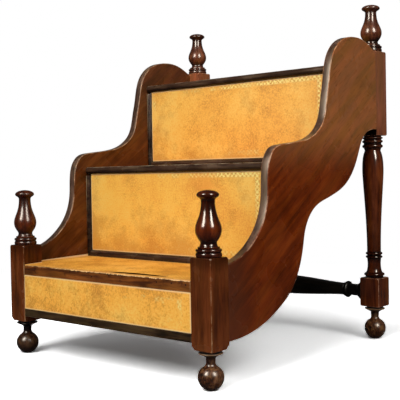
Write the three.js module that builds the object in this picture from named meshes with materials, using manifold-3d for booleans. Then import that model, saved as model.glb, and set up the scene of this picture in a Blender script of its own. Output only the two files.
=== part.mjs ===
// Library steps: three leather-lined treads between two serpentine mahogany side panels.
// Square front posts and tall turned rear legs carry vase finials and stand on ball feet.
// Millimetres. X runs across from left to right, Y from front to back and Z up from the floor.
// The origin is on the floor, in the middle of the footprint.
import * as THREE from 'three';
import { mergeVertices } from 'three/addons/utils/BufferGeometryUtils.js';
import Module from 'manifold-3d';

// Driving dimensions
const overallWidth = 600;
const overallDepth = 655;
const postSquare = 50;
const panelThickness = 19;
const treadOneTop = 204;
const treadTwoTop = 421;
const treadThreeTop = 634;
const riserOneFace = 0.5;
const riserTwoFace = 222;
const riserThreeFace = 439;

// Front posts and rear legs
const frontPostBottom = 75;
const frontPostAboveTread = 42;
const lowerBlockBottom = 78;
const lowerBlockHeight = 68;
const upperBlockHeight = 198;
const rearPostAboveTread = 47;
const frontFinialHeight = 124;
const rearFinialHeight = 112;
const cornerEasing = 3;
const spigotRadius = 9;
const spigotLength = 20;

// Treads and risers
const treadThickness = 18;
const riserThickness = 12;
const leatherThickness = 1.5;
const nosingOverhang = 8;
const nosingDepth = 12;
const lippingDepth = 12;
const lippingHeight = 23;
const leatherFrontMargin = 2;
const backEdgeDepth = 10;
const tongueThickness = 6;
const tongueLength = 5;
const beadWidth = 10;
const beadProud = 7;
const bottomBeadHeight = 14;
const glueBlockLeg = 20;
const glueBlockLength = 60;
const glueBlockFromCentre = 130;

// Rails
const frontRailAboveFoot = 13;
const frontRailHeight = 17;
const frontRailDepth = 20;
const backRailHeight = 80;
const backRailThickness = 19;
const backRailInset = 6;
const railTenonLength = 12;
const railTenonShoulder = 4;

// Rear stretcher, from its middle to the tenon in the leg
const stretcherMidRadius = 24.5;
const stretcherSlimRadius = 14.5;
const stretcherBeadLength = 4;
const stretcherBeadRadius = 17;
const stretcherRingLength = 10;
const stretcherRingRadius = 20;
const stretcherNeckLength = 20;
const stretcherNeckRadius = 14;
const stretcherFlareLength = 14;
const stretcherCollarLength = 8;
const stretcherCollarRadius = 22;
const stretcherTenonRadius = 10;
const stretcherTenonLength = 18;

// Joints between the side panels, the posts and the boards
const housingDepth = 5;
const panelTongueThickness = 8;
const panelTongueLength = 8;
const panelTongueShoulder = 5;
const clearance = 0.3;
const overrun = 4;

// Side panels: how far the ends and the rear lobe stand from what they pass
const panelBelowFrontTop = 14;
const panelAboveUpperBlock = 13.5;
const panelBelowRearTop = 6;
const lobeAboveTread = 68;

// Radii of the turned finials
const finialCollarRadius = 24.8;
const finialStepRadius = 20.8;
const finialWaistRadius = 15.5;
const finialBulbRadius = 24.3;
const finialNeckRadius = 13.1;
const finialKnobRadius = 20.4;

// Radii of the turned feet
const footPadRadius = 8;
const footBallRadius = 23.8;
const footNeckRadius = 8;
const footCollarRadius = 24.4;

// Radii of the turned part of the rear legs
const legRingRadius = 24;
const legGrooveRadius = 20.5;
const legNeckRadius = 18.4;
const legSwellRadius = 24.9;
const legTaperRadius = 16.2;
const legAnkleRingRadius = 19.6;
const legAnkleRadius = 15.3;

// Fineness of the round surfaces
const turningFacets = 16;
const ringSteps = 4;
const sweepSteps = 5;
const edgeSteps = 6;

// Sizes worked out from the driving ones
const halfWidth = overallWidth / 2;
const betweenPosts = halfWidth - postSquare;
const betweenPanels = halfWidth - panelThickness;
const betweenBeads = betweenPanels - beadWidth;
const inHousings = betweenPanels + housingDepth - clearance;
const postCentre = halfWidth - postSquare / 2;
const rearPostFront = overallDepth - postSquare;
const rearPostCentre = overallDepth - postSquare / 2;
const frontPostTop = treadOneTop + frontPostAboveTread;
const lowerBlockTop = lowerBlockBottom + lowerBlockHeight;
const upperBlockTop = treadThreeTop + rearPostAboveTread;
const upperBlockBottom = upperBlockTop - upperBlockHeight;
const stretcherHeight = lowerBlockBottom + lowerBlockHeight / 2;
const frontRailBottom = frontPostBottom + frontRailAboveFoot;
const frontRailTop = frontRailBottom + frontRailHeight;
const panelMiddle = halfWidth - panelThickness / 2;
const panelFrontTop = frontPostTop - panelBelowFrontTop;
const panelRearBottom = upperBlockBottom + panelAboveUpperBlock;
const panelRearTop = upperBlockTop - panelBelowRearTop;

// Finishes
const mahogany = new THREE.MeshStandardMaterial({ color: 0x5a2a16, roughness: 0.35, metalness: 0 });
const darkMahogany = new THREE.MeshStandardMaterial({ color: 0x33170e, roughness: 0.38, metalness: 0 });
const plainBoard = new THREE.MeshStandardMaterial({ color: 0x8a6544, roughness: 0.8, metalness: 0 });
const tanLeather = new THREE.MeshStandardMaterial({ color: 0xe3a24a, roughness: 0.6, metalness: 0 });

const wasm = await Module();
wasm.setup();

// Welds a closed geometry and makes it a solid that can be cut and joined.
function toSolid(geometry) {
  const bare = geometry.clone();
  bare.deleteAttribute('normal');
  bare.deleteAttribute('uv');
  const welded = mergeVertices(bare);
  const corners = welded.getIndex().array;
  const triangles = [];
  for (let i = 0; i < corners.length; i += 3) {
    const [a, b, c] = corners.slice(i, i + 3);
    if (a !== b && b !== c && c !== a) triangles.push(a, b, c);
  }
  return new wasm.Manifold(new wasm.Mesh({
    numProp: 3,
    vertProperties: new Float32Array(welded.getAttribute('position').array),
    triVerts: new Uint32Array(triangles),
  }));
}

function toGeometry(solid) {
  const mesh = solid.getMesh();
  const geometry = new THREE.BufferGeometry();
  geometry.setAttribute('position', new THREE.BufferAttribute(mesh.vertProperties, 3));
  geometry.setIndex(new THREE.BufferAttribute(mesh.triVerts, 1));
  geometry.computeVertexNormals();
  return geometry;
}

function cut(body, pieces) {
  let solid = toSolid(body);
  for (const piece of pieces) solid = solid.subtract(toSolid(piece));
  return toGeometry(solid);
}

function join(body, pieces) {
  let solid = toSolid(body);
  for (const piece of pieces) solid = solid.add(toSolid(piece));
  return toGeometry(solid);
}

// A square-edged block between pairs of places, each pair in either order.
function block(...ranges) {
  const [x, y, z] = ranges.map((range) => [...range].sort((a, b) => a - b));
  const geometry = new THREE.BoxGeometry(x[1] - x[0], y[1] - y[0], z[1] - z[0]);
  geometry.translate((x[0] + x[1]) / 2, (y[0] + y[1]) / 2, (z[0] + z[1]) / 2);
  return geometry;
}

function outlineOf(points) {
  return new THREE.Shape(points.map(([x, y]) => new THREE.Vector2(x, y)));
}

// An outline in Y and Z, carried along X.
function acrossFrom(xFrom, xTo, outline) {
  const options = { depth: xTo - xFrom, bevelEnabled: false, curveSegments: edgeSteps };
  const geometry = new THREE.ExtrudeGeometry(outline, options);
  geometry.applyMatrix4(new THREE.Matrix4().makeBasis(
    new THREE.Vector3(0, 1, 0), new THREE.Vector3(0, 0, 1), new THREE.Vector3(1, 0, 0)));
  geometry.translate(xFrom, 0, 0);
  return geometry;
}

// An outline in X and Y, carried upwards.
function upFrom(zFrom, zTo, outline) {
  const options = { depth: zTo - zFrom, bevelEnabled: false, curveSegments: edgeSteps };
  const geometry = new THREE.ExtrudeGeometry(outline, options);
  geometry.translate(0, 0, zFrom);
  return geometry;
}

// A turned profile is a list of radius and height, from the bottom up.
const at = (radius, height) => new THREE.Vector2(radius, height);

// A half-round ring that swells from one radius to another between two heights.
function ring(low, high, innerRadius, outerRadius) {
  const points = [];
  for (let i = 0; i <= ringSteps; i += 1) {
    const angle = Math.PI * (i / ringSteps - 1 / 2);
    const radius = innerRadius + (outerRadius - innerRadius) * Math.cos(angle);
    points.push(at(radius, (low + high) / 2 + (high - low) / 2 * Math.sin(angle)));
  }
  return points;
}

// A smooth curve that leaves and arrives upright. The shares say how slowly it turns away.
function sweep(from, to, [leaveShare, arriveShare]) {
  const rise = to.y - from.y;
  return new THREE.CubicBezierCurve(
    from, at(from.x, from.y + leaveShare * rise), at(to.x, to.y - arriveShare * rise), to,
  ).getPoints(sweepSteps);
}

function turned(profile) {
  const distinct = profile.filter((point, i) => i === 0 || point.distanceTo(profile[i - 1]) > 0);
  const geometry = new THREE.LatheGeometry(distinct, turningFacets);
  geometry.rotateX(Math.PI / 2);
  return geometry;
}

// A plain round peg or hole between two heights.
function rod(radius, zFrom, zTo) {
  return turned([at(0, zFrom), at(radius, zFrom), at(radius, zTo), at(0, zTo)]);
}

// Turns shares of a height into heights above a base.
function heightsFrom(base, span, shares) {
  return Object.fromEntries(Object.entries(shares).map(([name, share]) => [name, base + share * span]));
}

// Finials: a collar of two rings, a waist, a vase-shaped bulb, a slim neck and a flattened knob.
const finialHeightShares = {
  lowerRing: 0.07, upperRing: 0.08, upperRingTop: 0.125, step: 0.155, waist: 0.21,
  bulb: 0.405, neck: 0.835, knob: 0.925,
};
const finialSweepShares = {
  waist: [0.1, 0.6], bulb: [0.18, 0.55], neck: [0.29, 0.55], knob: [0.6, 0.5],
};

function finial(height) {
  const z = heightsFrom(0, height, finialHeightShares);
  const grooveRadius = (finialCollarRadius + finialStepRadius) / 2;
  const dome = [];
  for (let i = 1; i < sweepSteps; i += 1) {
    const angle = Math.PI / 2 * i / sweepSteps;
    dome.push(at(finialKnobRadius * Math.cos(angle), z.knob + (height - z.knob) * Math.sin(angle)));
  }
  return turned([
    at(0, -spigotLength),
    at(spigotRadius, -spigotLength),
    at(spigotRadius, clearance),
    ...ring(clearance, z.lowerRing, grooveRadius, finialCollarRadius),
    ...ring(z.upperRing, z.upperRingTop, grooveRadius, finialCollarRadius),
    at(finialStepRadius, z.upperRingTop),
    at(finialStepRadius, z.step),
    ...sweep(at((finialStepRadius + finialWaistRadius) / 2, z.step), at(finialWaistRadius, z.waist),
      finialSweepShares.waist),
    ...sweep(at(finialWaistRadius, z.waist), at(finialBulbRadius, z.bulb), finialSweepShares.bulb),
    ...sweep(at(finialBulbRadius, z.bulb), at(finialNeckRadius, z.neck), finialSweepShares.neck),
    ...sweep(at(finialNeckRadius, z.neck), at(finialKnobRadius, z.knob), finialSweepShares.knob),
    ...dome,
    at(0, height),
  ]);
}

// Feet: a ball with a flat pad, a thin neck and a bell that meets the block above.
const footHeightShares = { middle: 0.32, ball: 0.615, neck: 0.71, bell: 0.95 };
const footBellShares = [0.38, 0.4];
const footShoulderHandleShare = 0.5;
const footBallLeaveAngle = THREE.MathUtils.degToRad(60);

function foot(height) {
  const z = heightsFrom(0, height, footHeightShares);
  const upperHeight = z.ball - z.middle;
  const padAngle = -Math.acos(footPadRadius / footBallRadius);
  const lowerHeight = z.middle / Math.sin(-padAngle);
  const ballSteps = 2 * sweepSteps;
  const ball = [];
  for (let i = 0; i <= ballSteps; i += 1) {
    const angle = padAngle + (footBallLeaveAngle - padAngle) * i / ballSteps;
    const stretch = angle < 0 ? lowerHeight : upperHeight;
    ball.push(at(footBallRadius * Math.cos(angle), z.middle + stretch * Math.sin(angle)));
  }
  const leave = ball[ballSteps];
  const neck = at(footNeckRadius, z.neck);
  const handle = footShoulderHandleShare * (neck.y - leave.y);
  const shoulder = new THREE.CubicBezierCurve(
    leave,
    at(leave.x - handle * Math.sin(footBallLeaveAngle), leave.y + handle * Math.cos(footBallLeaveAngle)),
    at(neck.x, neck.y - handle),
    neck,
  ).getPoints(sweepSteps);
  const seat = height - clearance;
  return turned([
    at(0, 0),
    ...ball,
    ...shoulder,
    ...sweep(neck, at(footCollarRadius, z.bell), footBellShares),
    at(footCollarRadius, seat),
    at(spigotRadius, seat),
    at(spigotRadius, height + spigotLength),
    at(0, height + spigotLength),
  ]);
}

// Turns a square stick: whatever the profile leaves outside the square stays flat.
function squareTurning(profile, zFrom, zTo) {
  const half = postSquare / 2;
  const stick = toSolid(block([-half, half], [-half, half], [zFrom, zTo]));
  return toGeometry(stick.intersect(toSolid(turned(profile))));
}

// A square block within a turning, its corners eased at both ends.
function squareBlock(zFrom, zTo) {
  const cornerRadius = postSquare / Math.SQRT2;
  return [
    at(cornerRadius - cornerEasing, zFrom),
    at(cornerRadius + cornerEasing, zFrom + 2 * cornerEasing),
    at(cornerRadius + cornerEasing, zTo - 2 * cornerEasing),
    at(cornerRadius - cornerEasing, zTo),
  ];
}

// The holes for the spigots of the foot below a post and of the finial above it.
function spigotHoles(bottom, top) {
  return [
    rod(spigotRadius + clearance, bottom - overrun, bottom + spigotLength + clearance),
    rod(spigotRadius + clearance, top - spigotLength - clearance, top + overrun),
  ];
}

// The upright groove in a post that takes the tongue of a side panel.
function panelGroove(side, yFrom, yTo, zFrom, zTo) {
  const half = panelTongueThickness / 2 + clearance;
  return block([side * (panelMiddle - half), side * (panelMiddle + half)], [yFrom, yTo],
    [zFrom + panelTongueShoulder - clearance, zTo - panelTongueShoulder + clearance]);
}

// The mortise in a post that takes the stub tenon of a rail.
function railMortise(side, [front, back], [bottom, top]) {
  const shoulder = railTenonShoulder - clearance;
  return block([side * (betweenPosts - overrun), side * (betweenPosts + railTenonLength)],
    [front + shoulder, back - shoulder], [bottom + shoulder, top - shoulder]);
}

function frontPost(side) {
  const profile = [
    at(0, frontPostBottom), ...squareBlock(frontPostBottom, frontPostTop), at(0, frontPostTop)];
  const body = squareTurning(profile, frontPostBottom, frontPostTop);
  const post = cut(body, spigotHoles(frontPostBottom, frontPostTop));
  post.translate(side * postCentre, postSquare / 2, 0);
  const riserGroove = block(
    [side * (betweenPosts - overrun), side * (betweenPosts + housingDepth)],
    [riserOne.boardFront - clearance, riserOne.boardBack + clearance],
    [riserOne.bottom - clearance, riserOne.top + clearance]);
  return cut(post, [
    panelGroove(side, postSquare - panelTongueLength - clearance, postSquare + overrun,
      frontRailBottom, panelFrontTop),
    riserGroove,
    railMortise(side, [0, frontRailDepth], [frontRailBottom, frontRailTop]),
  ]);
}

// Rear legs: a lower block, ankle rings, a long vase-shaped shaft, three rings and an upper block.
const legHeightShares = {
  disc: 0.012, discTop: 0.033, ankle: 0.036, ankleTop: 0.101,
  lowRing: 0.137, lowRingTop: 0.154, highRing: 0.161, highRingTop: 0.179,
  taper: 0.19, swell: 0.76, neck: 0.897,
  firstRing: 0.915, firstRingTop: 0.938, secondRing: 0.95, secondRingTop: 0.97,
  thirdRing: 0.977, thirdRingTop: 0.991,
};
const legSweepShares = { ankle: [0.02, 0.9], swell: [0.44, 0.15], neck: [0.8, 0.06] };

function legProfile() {
  const z = heightsFrom(lowerBlockTop, upperBlockBottom - lowerBlockTop, legHeightShares);
  return [
    at(0, lowerBlockBottom),
    ...squareBlock(lowerBlockBottom, lowerBlockTop),
    at(legGrooveRadius, lowerBlockTop),
    ...ring(z.disc, z.discTop, legGrooveRadius, legRingRadius),
    ...sweep(at(legAnkleRingRadius, z.ankle), at(legAnkleRadius, z.ankleTop), legSweepShares.ankle),
    ...ring(z.lowRing, z.lowRingTop, legTaperRadius, legAnkleRingRadius),
    ...ring(z.highRing, z.highRingTop, legTaperRadius, legAnkleRingRadius),
    ...sweep(at(legTaperRadius, z.taper), at(legSwellRadius, z.swell), legSweepShares.swell),
    ...sweep(at(legSwellRadius, z.swell), at(legNeckRadius, z.neck), legSweepShares.neck),
    ...ring(z.firstRing, z.firstRingTop, legGrooveRadius, legRingRadius),
    ...ring(z.secondRing, z.secondRingTop, legGrooveRadius, legRingRadius),
    ...ring(z.thirdRing, z.thirdRingTop, legGrooveRadius, legRingRadius),
    ...squareBlock(upperBlockBottom, upperBlockTop),
    at(0, upperBlockTop),
  ];
}

function rearLeg(side) {
  const body = squareTurning(legProfile(), lowerBlockBottom, upperBlockTop);
  const leg = cut(body, spigotHoles(lowerBlockBottom, upperBlockTop));
  leg.translate(side * postCentre, rearPostCentre, 0);
  const stretcherMortise = rod(stretcherTenonRadius + clearance, betweenPosts - overrun,
    betweenPosts + stretcherTenonLength);
  stretcherMortise.rotateY(side * Math.PI / 2);
  stretcherMortise.translate(0, rearPostCentre, stretcherHeight);
  return cut(leg, [
    panelGroove(side, rearPostFront - overrun, rearPostFront + panelTongueLength + clearance,
      panelRearBottom, panelRearTop),
    railMortise(side, backRailFaces(), backRailEdges()),
    stretcherMortise,
  ]);
}

// The nodes of the waving edges of a side panel. Each lies at a share of one of the three goings
// (front post to riser two, riser two to three, riser three to rear leg) and of one of the two
// rises between treads, and the edge passes it at a slope in degrees.
const topEdgeShares = [
  { going: 0, along: 0.5, rise: 0, up: 0.323, slope: 43 },
  { going: 0, along: 0.738, rise: 0, up: 0.747, slope: 88 },
  { going: 0, along: 0.849, rise: 0, up: 1.101, slope: 46 },
  { going: 1, along: 0.092, rise: 1, up: 0.171, slope: 7 },
  { going: 1, along: 0.668, rise: 1, up: 0.338, slope: 41 },
  { going: 1, along: 0.816, rise: 1, up: 0.723, slope: 74 },
  { going: 1, along: 0.954, rise: 1, up: 1.15, slope: 50 },
];
const lowerEdgeShares = [
  { going: 1, along: 0.032, rise: 0, up: -0.288, slope: 33 },
  { going: 1, along: 0.357, rise: 0, up: 0.258, slope: 79 },
  { going: 1, along: 0.488, rise: 0, up: 0.505, slope: 44 },
  { going: 1, along: 0.82, rise: 0, up: 0.65, slope: 16.5 },
  { going: 2, along: 0.259, rise: 1, up: -0.178, slope: 41 },
  { going: 2, along: 0.554, rise: 1, up: 0.164, slope: 64 },
  { going: 2, along: 0.729, rise: 1, up: 0.312, slope: 27 },
];
const lobeAlongShare = 0.5;
const edgeHandleShare = 0.36;
const topEdgeStartSlope = 9;
const topEdgeEndSlope = -31;

const goings = [
  [postSquare, riserTwoFace], [riserTwoFace, riserThreeFace], [riserThreeFace, rearPostFront]];
const rises = [[treadOneTop, treadTwoTop], [treadTwoTop, treadThreeTop]];
const between = ([from, to], share) => from + share * (to - from);

function edgeNodes(shares) {
  return shares.map(({ going, along, rise, up, slope }) => (
    { y: between(goings[going], along), z: between(rises[rise], up), slope }));
}

// Draws a curve from node to node, along the slope at each. Forwards is 1, backwards -1.
function curveThrough(outline, nodes, direction) {
  for (let i = 1; i < nodes.length; i += 1) {
    const [from, to] = [nodes[i - 1], nodes[i]];
    const handle = direction * edgeHandleShare * Math.hypot(to.y - from.y, to.z - from.z);
    const [leave, arrive] = [from, to].map((node) => THREE.MathUtils.degToRad(node.slope));
    outline.bezierCurveTo(
      from.y + handle * Math.cos(leave), from.z + handle * Math.sin(leave),
      to.y - handle * Math.cos(arrive), to.z - handle * Math.sin(arrive), to.y, to.z);
  }
}

function panelOutline() {
  const lowerEdge = [
    { y: postSquare, z: frontRailBottom, slope: 0 },
    ...edgeNodes(lowerEdgeShares),
    { y: rearPostFront, z: panelRearBottom, slope: 0 },
  ];
  const topEdge = [
    { y: postSquare, z: panelFrontTop, slope: topEdgeStartSlope },
    ...edgeNodes(topEdgeShares),
    { y: between(goings[2], lobeAlongShare), z: treadThreeTop + lobeAboveTread, slope: 0 },
    { y: rearPostFront, z: panelRearTop, slope: topEdgeEndSlope },
  ];
  const outline = new THREE.Shape();
  outline.moveTo(postSquare, frontRailBottom);
  curveThrough(outline, lowerEdge, 1);
  outline.lineTo(rearPostFront, panelRearTop);
  curveThrough(outline, topEdge.reverse(), -1);
  outline.closePath();
  return outline;
}

// Side panels: tongued into the posts, and housed on their inner faces for the boards.
function sidePanel(side) {
  const [low, high] = [side * betweenPanels, side * halfWidth].sort((a, b) => a - b);
  const half = panelTongueThickness / 2;
  const tongueX = [side * (panelMiddle - half), side * (panelMiddle + half)];
  const tongues = [
    block(tongueX, [postSquare - panelTongueLength, postSquare + overrun],
      [frontRailBottom + panelTongueShoulder, panelFrontTop - panelTongueShoulder]),
    block(tongueX, [rearPostFront - overrun, rearPostFront + panelTongueLength],
      [panelRearBottom + panelTongueShoulder, panelRearTop - panelTongueShoulder]),
  ];
  const [housingLow, housingHigh] = [
    side * (betweenPanels - overrun), side * (betweenPanels + housingDepth)].sort((a, b) => a - b);
  const board = join(acrossFrom(low, high, panelOutline()), tongues);
  return cut(board, [acrossFrom(housingLow, housingHigh, housingOutline())]);
}

// One housing takes the ends of all the boards, tread after riser, as in the string of a stair.
function housingOutline() {
  const bottom = (tread) => tread.boardBottom - clearance;
  const top = (tread) => tread.boardTop + clearance;
  const front = (board) => board.boardFront - clearance;
  const back = (tread) => tread.housedTo + clearance;
  const points = [[front(treadOne), bottom(treadOne)], [back(treadOne), bottom(treadOne)]];
  for (const [below, above] of [[treadOne, treadTwo], [treadTwo, treadThree]]) {
    points.push([back(below), bottom(above)], [back(above), bottom(above)]);
  }
  points.push([back(treadThree), top(treadThree)]);
  for (const [below, riser, above] of [[treadTwo, riserThree, treadThree], [treadOne, riserTwo, treadTwo]]) {
    const riserTop = riser.top + clearance;
    points.push([front(above), top(above)], [front(above), riserTop], [front(riser), riserTop],
      [front(riser), top(below)]);
  }
  points.push([front(treadOne), top(treadOne)]);
  return outlineOf(points);
}

// Levels of a tread: leather laid on a board. Its edges run from front to back.
function treadLevels(top, boardFront, boardBack, housedTo) {
  const leatherBottom = top - leatherThickness;
  const boardTop = leatherBottom - clearance;
  const boardBottom = boardTop - treadThickness;
  const middle = (boardTop + boardBottom) / 2;
  return { top, leatherBottom, boardTop, boardBottom, middle, boardFront, boardBack, housedTo };
}

// Faces of a riser: leather on a board that stands on the piece below.
function riserFaces(face, bottom, top) {
  const leatherBack = face + leatherThickness;
  return { face, leatherBack, boardFront: leatherBack + clearance, boardBack: riserBack(face), bottom, top };
}

function riserBack(face) {
  return face + leatherThickness + clearance + riserThickness;
}

const nosingTwoFront = riserTwoFace - nosingOverhang;
const nosingThreeFront = riserThreeFace - nosingOverhang;
const backEdgeFront = overallDepth - backEdgeDepth;
const treadOne = treadLevels(treadOneTop, lippingDepth + clearance,
  riserBack(riserTwoFace), riserBack(riserTwoFace));
const treadTwo = treadLevels(treadTwoTop, nosingTwoFront + nosingDepth + clearance,
  riserBack(riserThreeFace), riserBack(riserThreeFace));
const treadThree = treadLevels(treadThreeTop, nosingThreeFront + nosingDepth + clearance,
  backEdgeFront - clearance, rearPostFront + overrun);
const riserOne = riserFaces(riserOneFace, frontRailTop + clearance, treadOneTop - lippingHeight - clearance);
const riserTwo = riserFaces(riserTwoFace, treadOne.boardTop + clearance, treadTwo.boardBottom - clearance);
const riserThree = riserFaces(riserThreeFace, treadTwo.boardTop + clearance,
  treadThree.boardBottom - clearance);

// Tread boards, with a groove along the edge for the strip that finishes it.
function edgeGroove(tread, yFrom, yTo) {
  const half = tongueThickness / 2 + clearance;
  return block([-halfWidth, halfWidth], [yFrom, yTo], [tread.middle - half, tread.middle + half]);
}

function frontGroove(tread) {
  return edgeGroove(tread, tread.boardFront - overrun, tread.boardFront + tongueLength);
}

// An outline that is narrower in front, where it passes between the front posts.
function notchedInFront(wide, front, back) {
  const narrow = betweenPosts - clearance;
  const notch = postSquare + clearance;
  return outlineOf([
    [-narrow, front], [narrow, front], [narrow, notch], [wide, notch],
    [wide, back], [-wide, back], [-wide, notch], [-narrow, notch],
  ]);
}

// An outline that is narrower behind, where it passes between the rear legs.
function notchedBehind(wide, front, back) {
  const narrow = betweenPosts - clearance;
  const notch = rearPostFront - clearance;
  return outlineOf([
    [-wide, front], [wide, front], [wide, notch], [narrow, notch],
    [narrow, back], [-narrow, back], [-narrow, notch], [-wide, notch],
  ]);
}

function treadOneBoard() {
  const outline = notchedInFront(inHousings, treadOne.boardFront, treadOne.boardBack);
  return cut(upFrom(treadOne.boardBottom, treadOne.boardTop, outline), [frontGroove(treadOne)]);
}

function treadTwoBoard() {
  const board = block([-inHousings, inHousings], [treadTwo.boardFront, treadTwo.boardBack],
    [treadTwo.boardBottom, treadTwo.boardTop]);
  return cut(board, [frontGroove(treadTwo)]);
}

function treadThreeBoard() {
  const outline = notchedBehind(inHousings, treadThree.boardFront, treadThree.boardBack);
  const backGroove = edgeGroove(treadThree, treadThree.boardBack - tongueLength,
    treadThree.boardBack + overrun);
  const board = upFrom(treadThree.boardBottom, treadThree.boardTop, outline);
  return cut(board, [frontGroove(treadThree), backGroove]);
}

// Leather of the treads, cut round the posts and stopped at the beads and nosings.
function treadOneLeather() {
  const back = riserTwoFace - beadProud - clearance;
  const outline = notchedInFront(betweenPanels - clearance, leatherFrontMargin, back);
  return upFrom(treadOne.leatherBottom, treadOne.top, outline);
}

function treadTwoLeather() {
  const wide = betweenPanels - clearance;
  return block([-wide, wide], [treadTwo.boardFront, riserThreeFace - beadProud - clearance],
    [treadTwo.leatherBottom, treadTwo.top]);
}

function treadThreeLeather() {
  const outline = notchedBehind(betweenPanels - clearance, treadThree.boardFront, treadThree.boardBack);
  return upFrom(treadThree.leatherBottom, treadThree.top, outline);
}

// Draws the tongue of a strip, from its lower edge to its upper one. It points along Y.
function drawTongue(section, tread, face, direction) {
  const tip = face + direction * tongueLength;
  section.lineTo(face, tread.middle - tongueThickness / 2);
  section.lineTo(tip, tread.middle - tongueThickness / 2);
  section.lineTo(tip, tread.middle + tongueThickness / 2);
  section.lineTo(face, tread.middle + tongueThickness / 2);
}

// The rounded nosing on the front edge of tread two or three.
function nosing(tread, front) {
  const back = front + nosingDepth;
  const bottom = tread.boardBottom;
  const round = nosingDepth / 2;
  const section = new THREE.Shape();
  section.moveTo(back, bottom);
  drawTongue(section, tread, back, 1);
  section.lineTo(back, tread.top);
  section.lineTo(front + round, tread.top);
  section.absellipse(front + round, (bottom + tread.top) / 2, round, (tread.top - bottom) / 2,
    Math.PI / 2, Math.PI * 3 / 2, false);
  section.closePath();
  return acrossFrom(-betweenPanels + clearance, betweenPanels - clearance, section);
}

// The lipping on the front edge of tread one, flush with the front of the posts.
function lipping() {
  const section = new THREE.Shape();
  section.moveTo(lippingDepth, treadOneTop - lippingHeight);
  drawTongue(section, treadOne, lippingDepth, 1);
  section.lineTo(lippingDepth, treadOne.boardTop);
  section.lineTo(0, treadOne.boardTop);
  section.lineTo(0, treadOneTop - lippingHeight);
  section.closePath();
  return acrossFrom(-betweenPosts + clearance, betweenPosts - clearance, section);
}

// The strip that closes the back edge of tread three between the rear legs.
function backEdge() {
  const section = new THREE.Shape();
  section.moveTo(backEdgeFront, treadThree.boardBottom);
  drawTongue(section, treadThree, backEdgeFront, -1);
  section.lineTo(backEdgeFront, treadThree.top);
  section.lineTo(overallDepth, treadThree.top);
  section.lineTo(overallDepth, treadThree.boardBottom);
  section.closePath();
  return acrossFrom(-betweenPosts + clearance, betweenPosts - clearance, section);
}

function riserBoard(riser, reach) {
  return block([-reach, reach], [riser.boardFront, riser.boardBack], [riser.bottom, riser.top]);
}

function riserLeather(riser, reach, bottom) {
  return block([-reach, reach], [riser.face, riser.leatherBack], [bottom, riser.top]);
}

// Beads with one rounded edge, which frame the leather of risers two and three.
function sideBead(side, riser) {
  const front = riser.face - beadProud;
  const [wall, free] = [side * (betweenPanels - clearance), side * betweenBeads];
  const section = new THREE.Shape();
  section.moveTo(wall, riser.leatherBack);
  section.lineTo(wall, front);
  section.lineTo(free + side * beadProud, front);
  section.quadraticCurveTo(free, front, free, front + beadProud);
  section.lineTo(free, riser.leatherBack);
  section.closePath();
  return upFrom(riser.bottom, riser.top, section);
}

function bottomBead(riser, treadTop) {
  const front = riser.face - beadProud;
  const top = treadTop + bottomBeadHeight;
  const section = new THREE.Shape();
  section.moveTo(riser.leatherBack, riser.bottom);
  section.lineTo(front, riser.bottom);
  section.lineTo(front, top - beadProud);
  section.quadraticCurveTo(front, top, front + beadProud, top);
  section.lineTo(riser.leatherBack, top);
  section.closePath();
  return acrossFrom(-betweenBeads + clearance, betweenBeads - clearance, section);
}

// Rails with a stub tenon at each end.
function rail([front, back], [bottom, top]) {
  const reach = betweenPosts + railTenonLength - clearance;
  const shoulder = betweenPosts - clearance;
  const tenon = block([-reach, reach], [front + railTenonShoulder, back - railTenonShoulder],
    [bottom + railTenonShoulder, top - railTenonShoulder]);
  return join(block([-shoulder, shoulder], [front, back], [bottom, top]), [tenon]);
}

function backRailFaces() {
  const back = overallDepth - backRailInset;
  return [back - backRailThickness, back];
}

function backRailEdges() {
  const top = treadThree.boardBottom - clearance;
  return [top - backRailHeight, top];
}

// Rear stretcher: a long swelling between two rings, with necks and flared collars at its ends.
const stretcherSweepShares = { swell: [0.45, 0.2], neck: [0.5, 0.2] };

function stretcher() {
  const shoulder = betweenPosts - clearance;
  const reach = betweenPosts + stretcherTenonLength - clearance;
  const collar = shoulder - stretcherCollarLength;
  const neckEnd = collar - stretcherFlareLength;
  const ringEnd = neckEnd - stretcherNeckLength;
  const ringStart = ringEnd - stretcherRingLength;
  const beadStart = ringStart - stretcherBeadLength;
  const half = [
    ...sweep(at(stretcherMidRadius, 0), at(stretcherSlimRadius, beadStart), stretcherSweepShares.swell),
    ...ring(beadStart, ringStart, stretcherSlimRadius, stretcherBeadRadius),
    ...ring(ringStart, ringEnd, stretcherSlimRadius, stretcherRingRadius),
    at(stretcherNeckRadius, ringEnd),
    ...sweep(at(stretcherNeckRadius, neckEnd), at(stretcherCollarRadius, collar), stretcherSweepShares.neck),
    at(stretcherCollarRadius, shoulder),
    at(stretcherTenonRadius, shoulder),
    at(stretcherTenonRadius, reach),
    at(0, reach),
  ];
  const otherHalf = half.map((point) => at(point.x, -point.y)).reverse();
  const geometry = turned([...otherHalf, ...half]);
  geometry.rotateY(Math.PI / 2);
  geometry.translate(0, rearPostCentre, stretcherHeight);
  return geometry;
}

// Glue blocks in the angle behind a riser and under the tread above it.
function glueBlock(side, riser, tread) {
  const y = riser.boardBack + clearance;
  const z = tread.boardBottom - clearance;
  const middle = side * glueBlockFromCentre;
  return acrossFrom(middle - glueBlockLength / 2, middle + glueBlockLength / 2,
    outlineOf([[y, z], [y, z - glueBlockLeg], [y + glueBlockLeg, z]]));
}

const steps = new THREE.Group();

function add(name, geometry, material, place = [0, 0, 0]) {
  const mesh = new THREE.Mesh(geometry, material);
  mesh.name = name;
  mesh.position.set(...place);
  steps.add(mesh);
}

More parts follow.
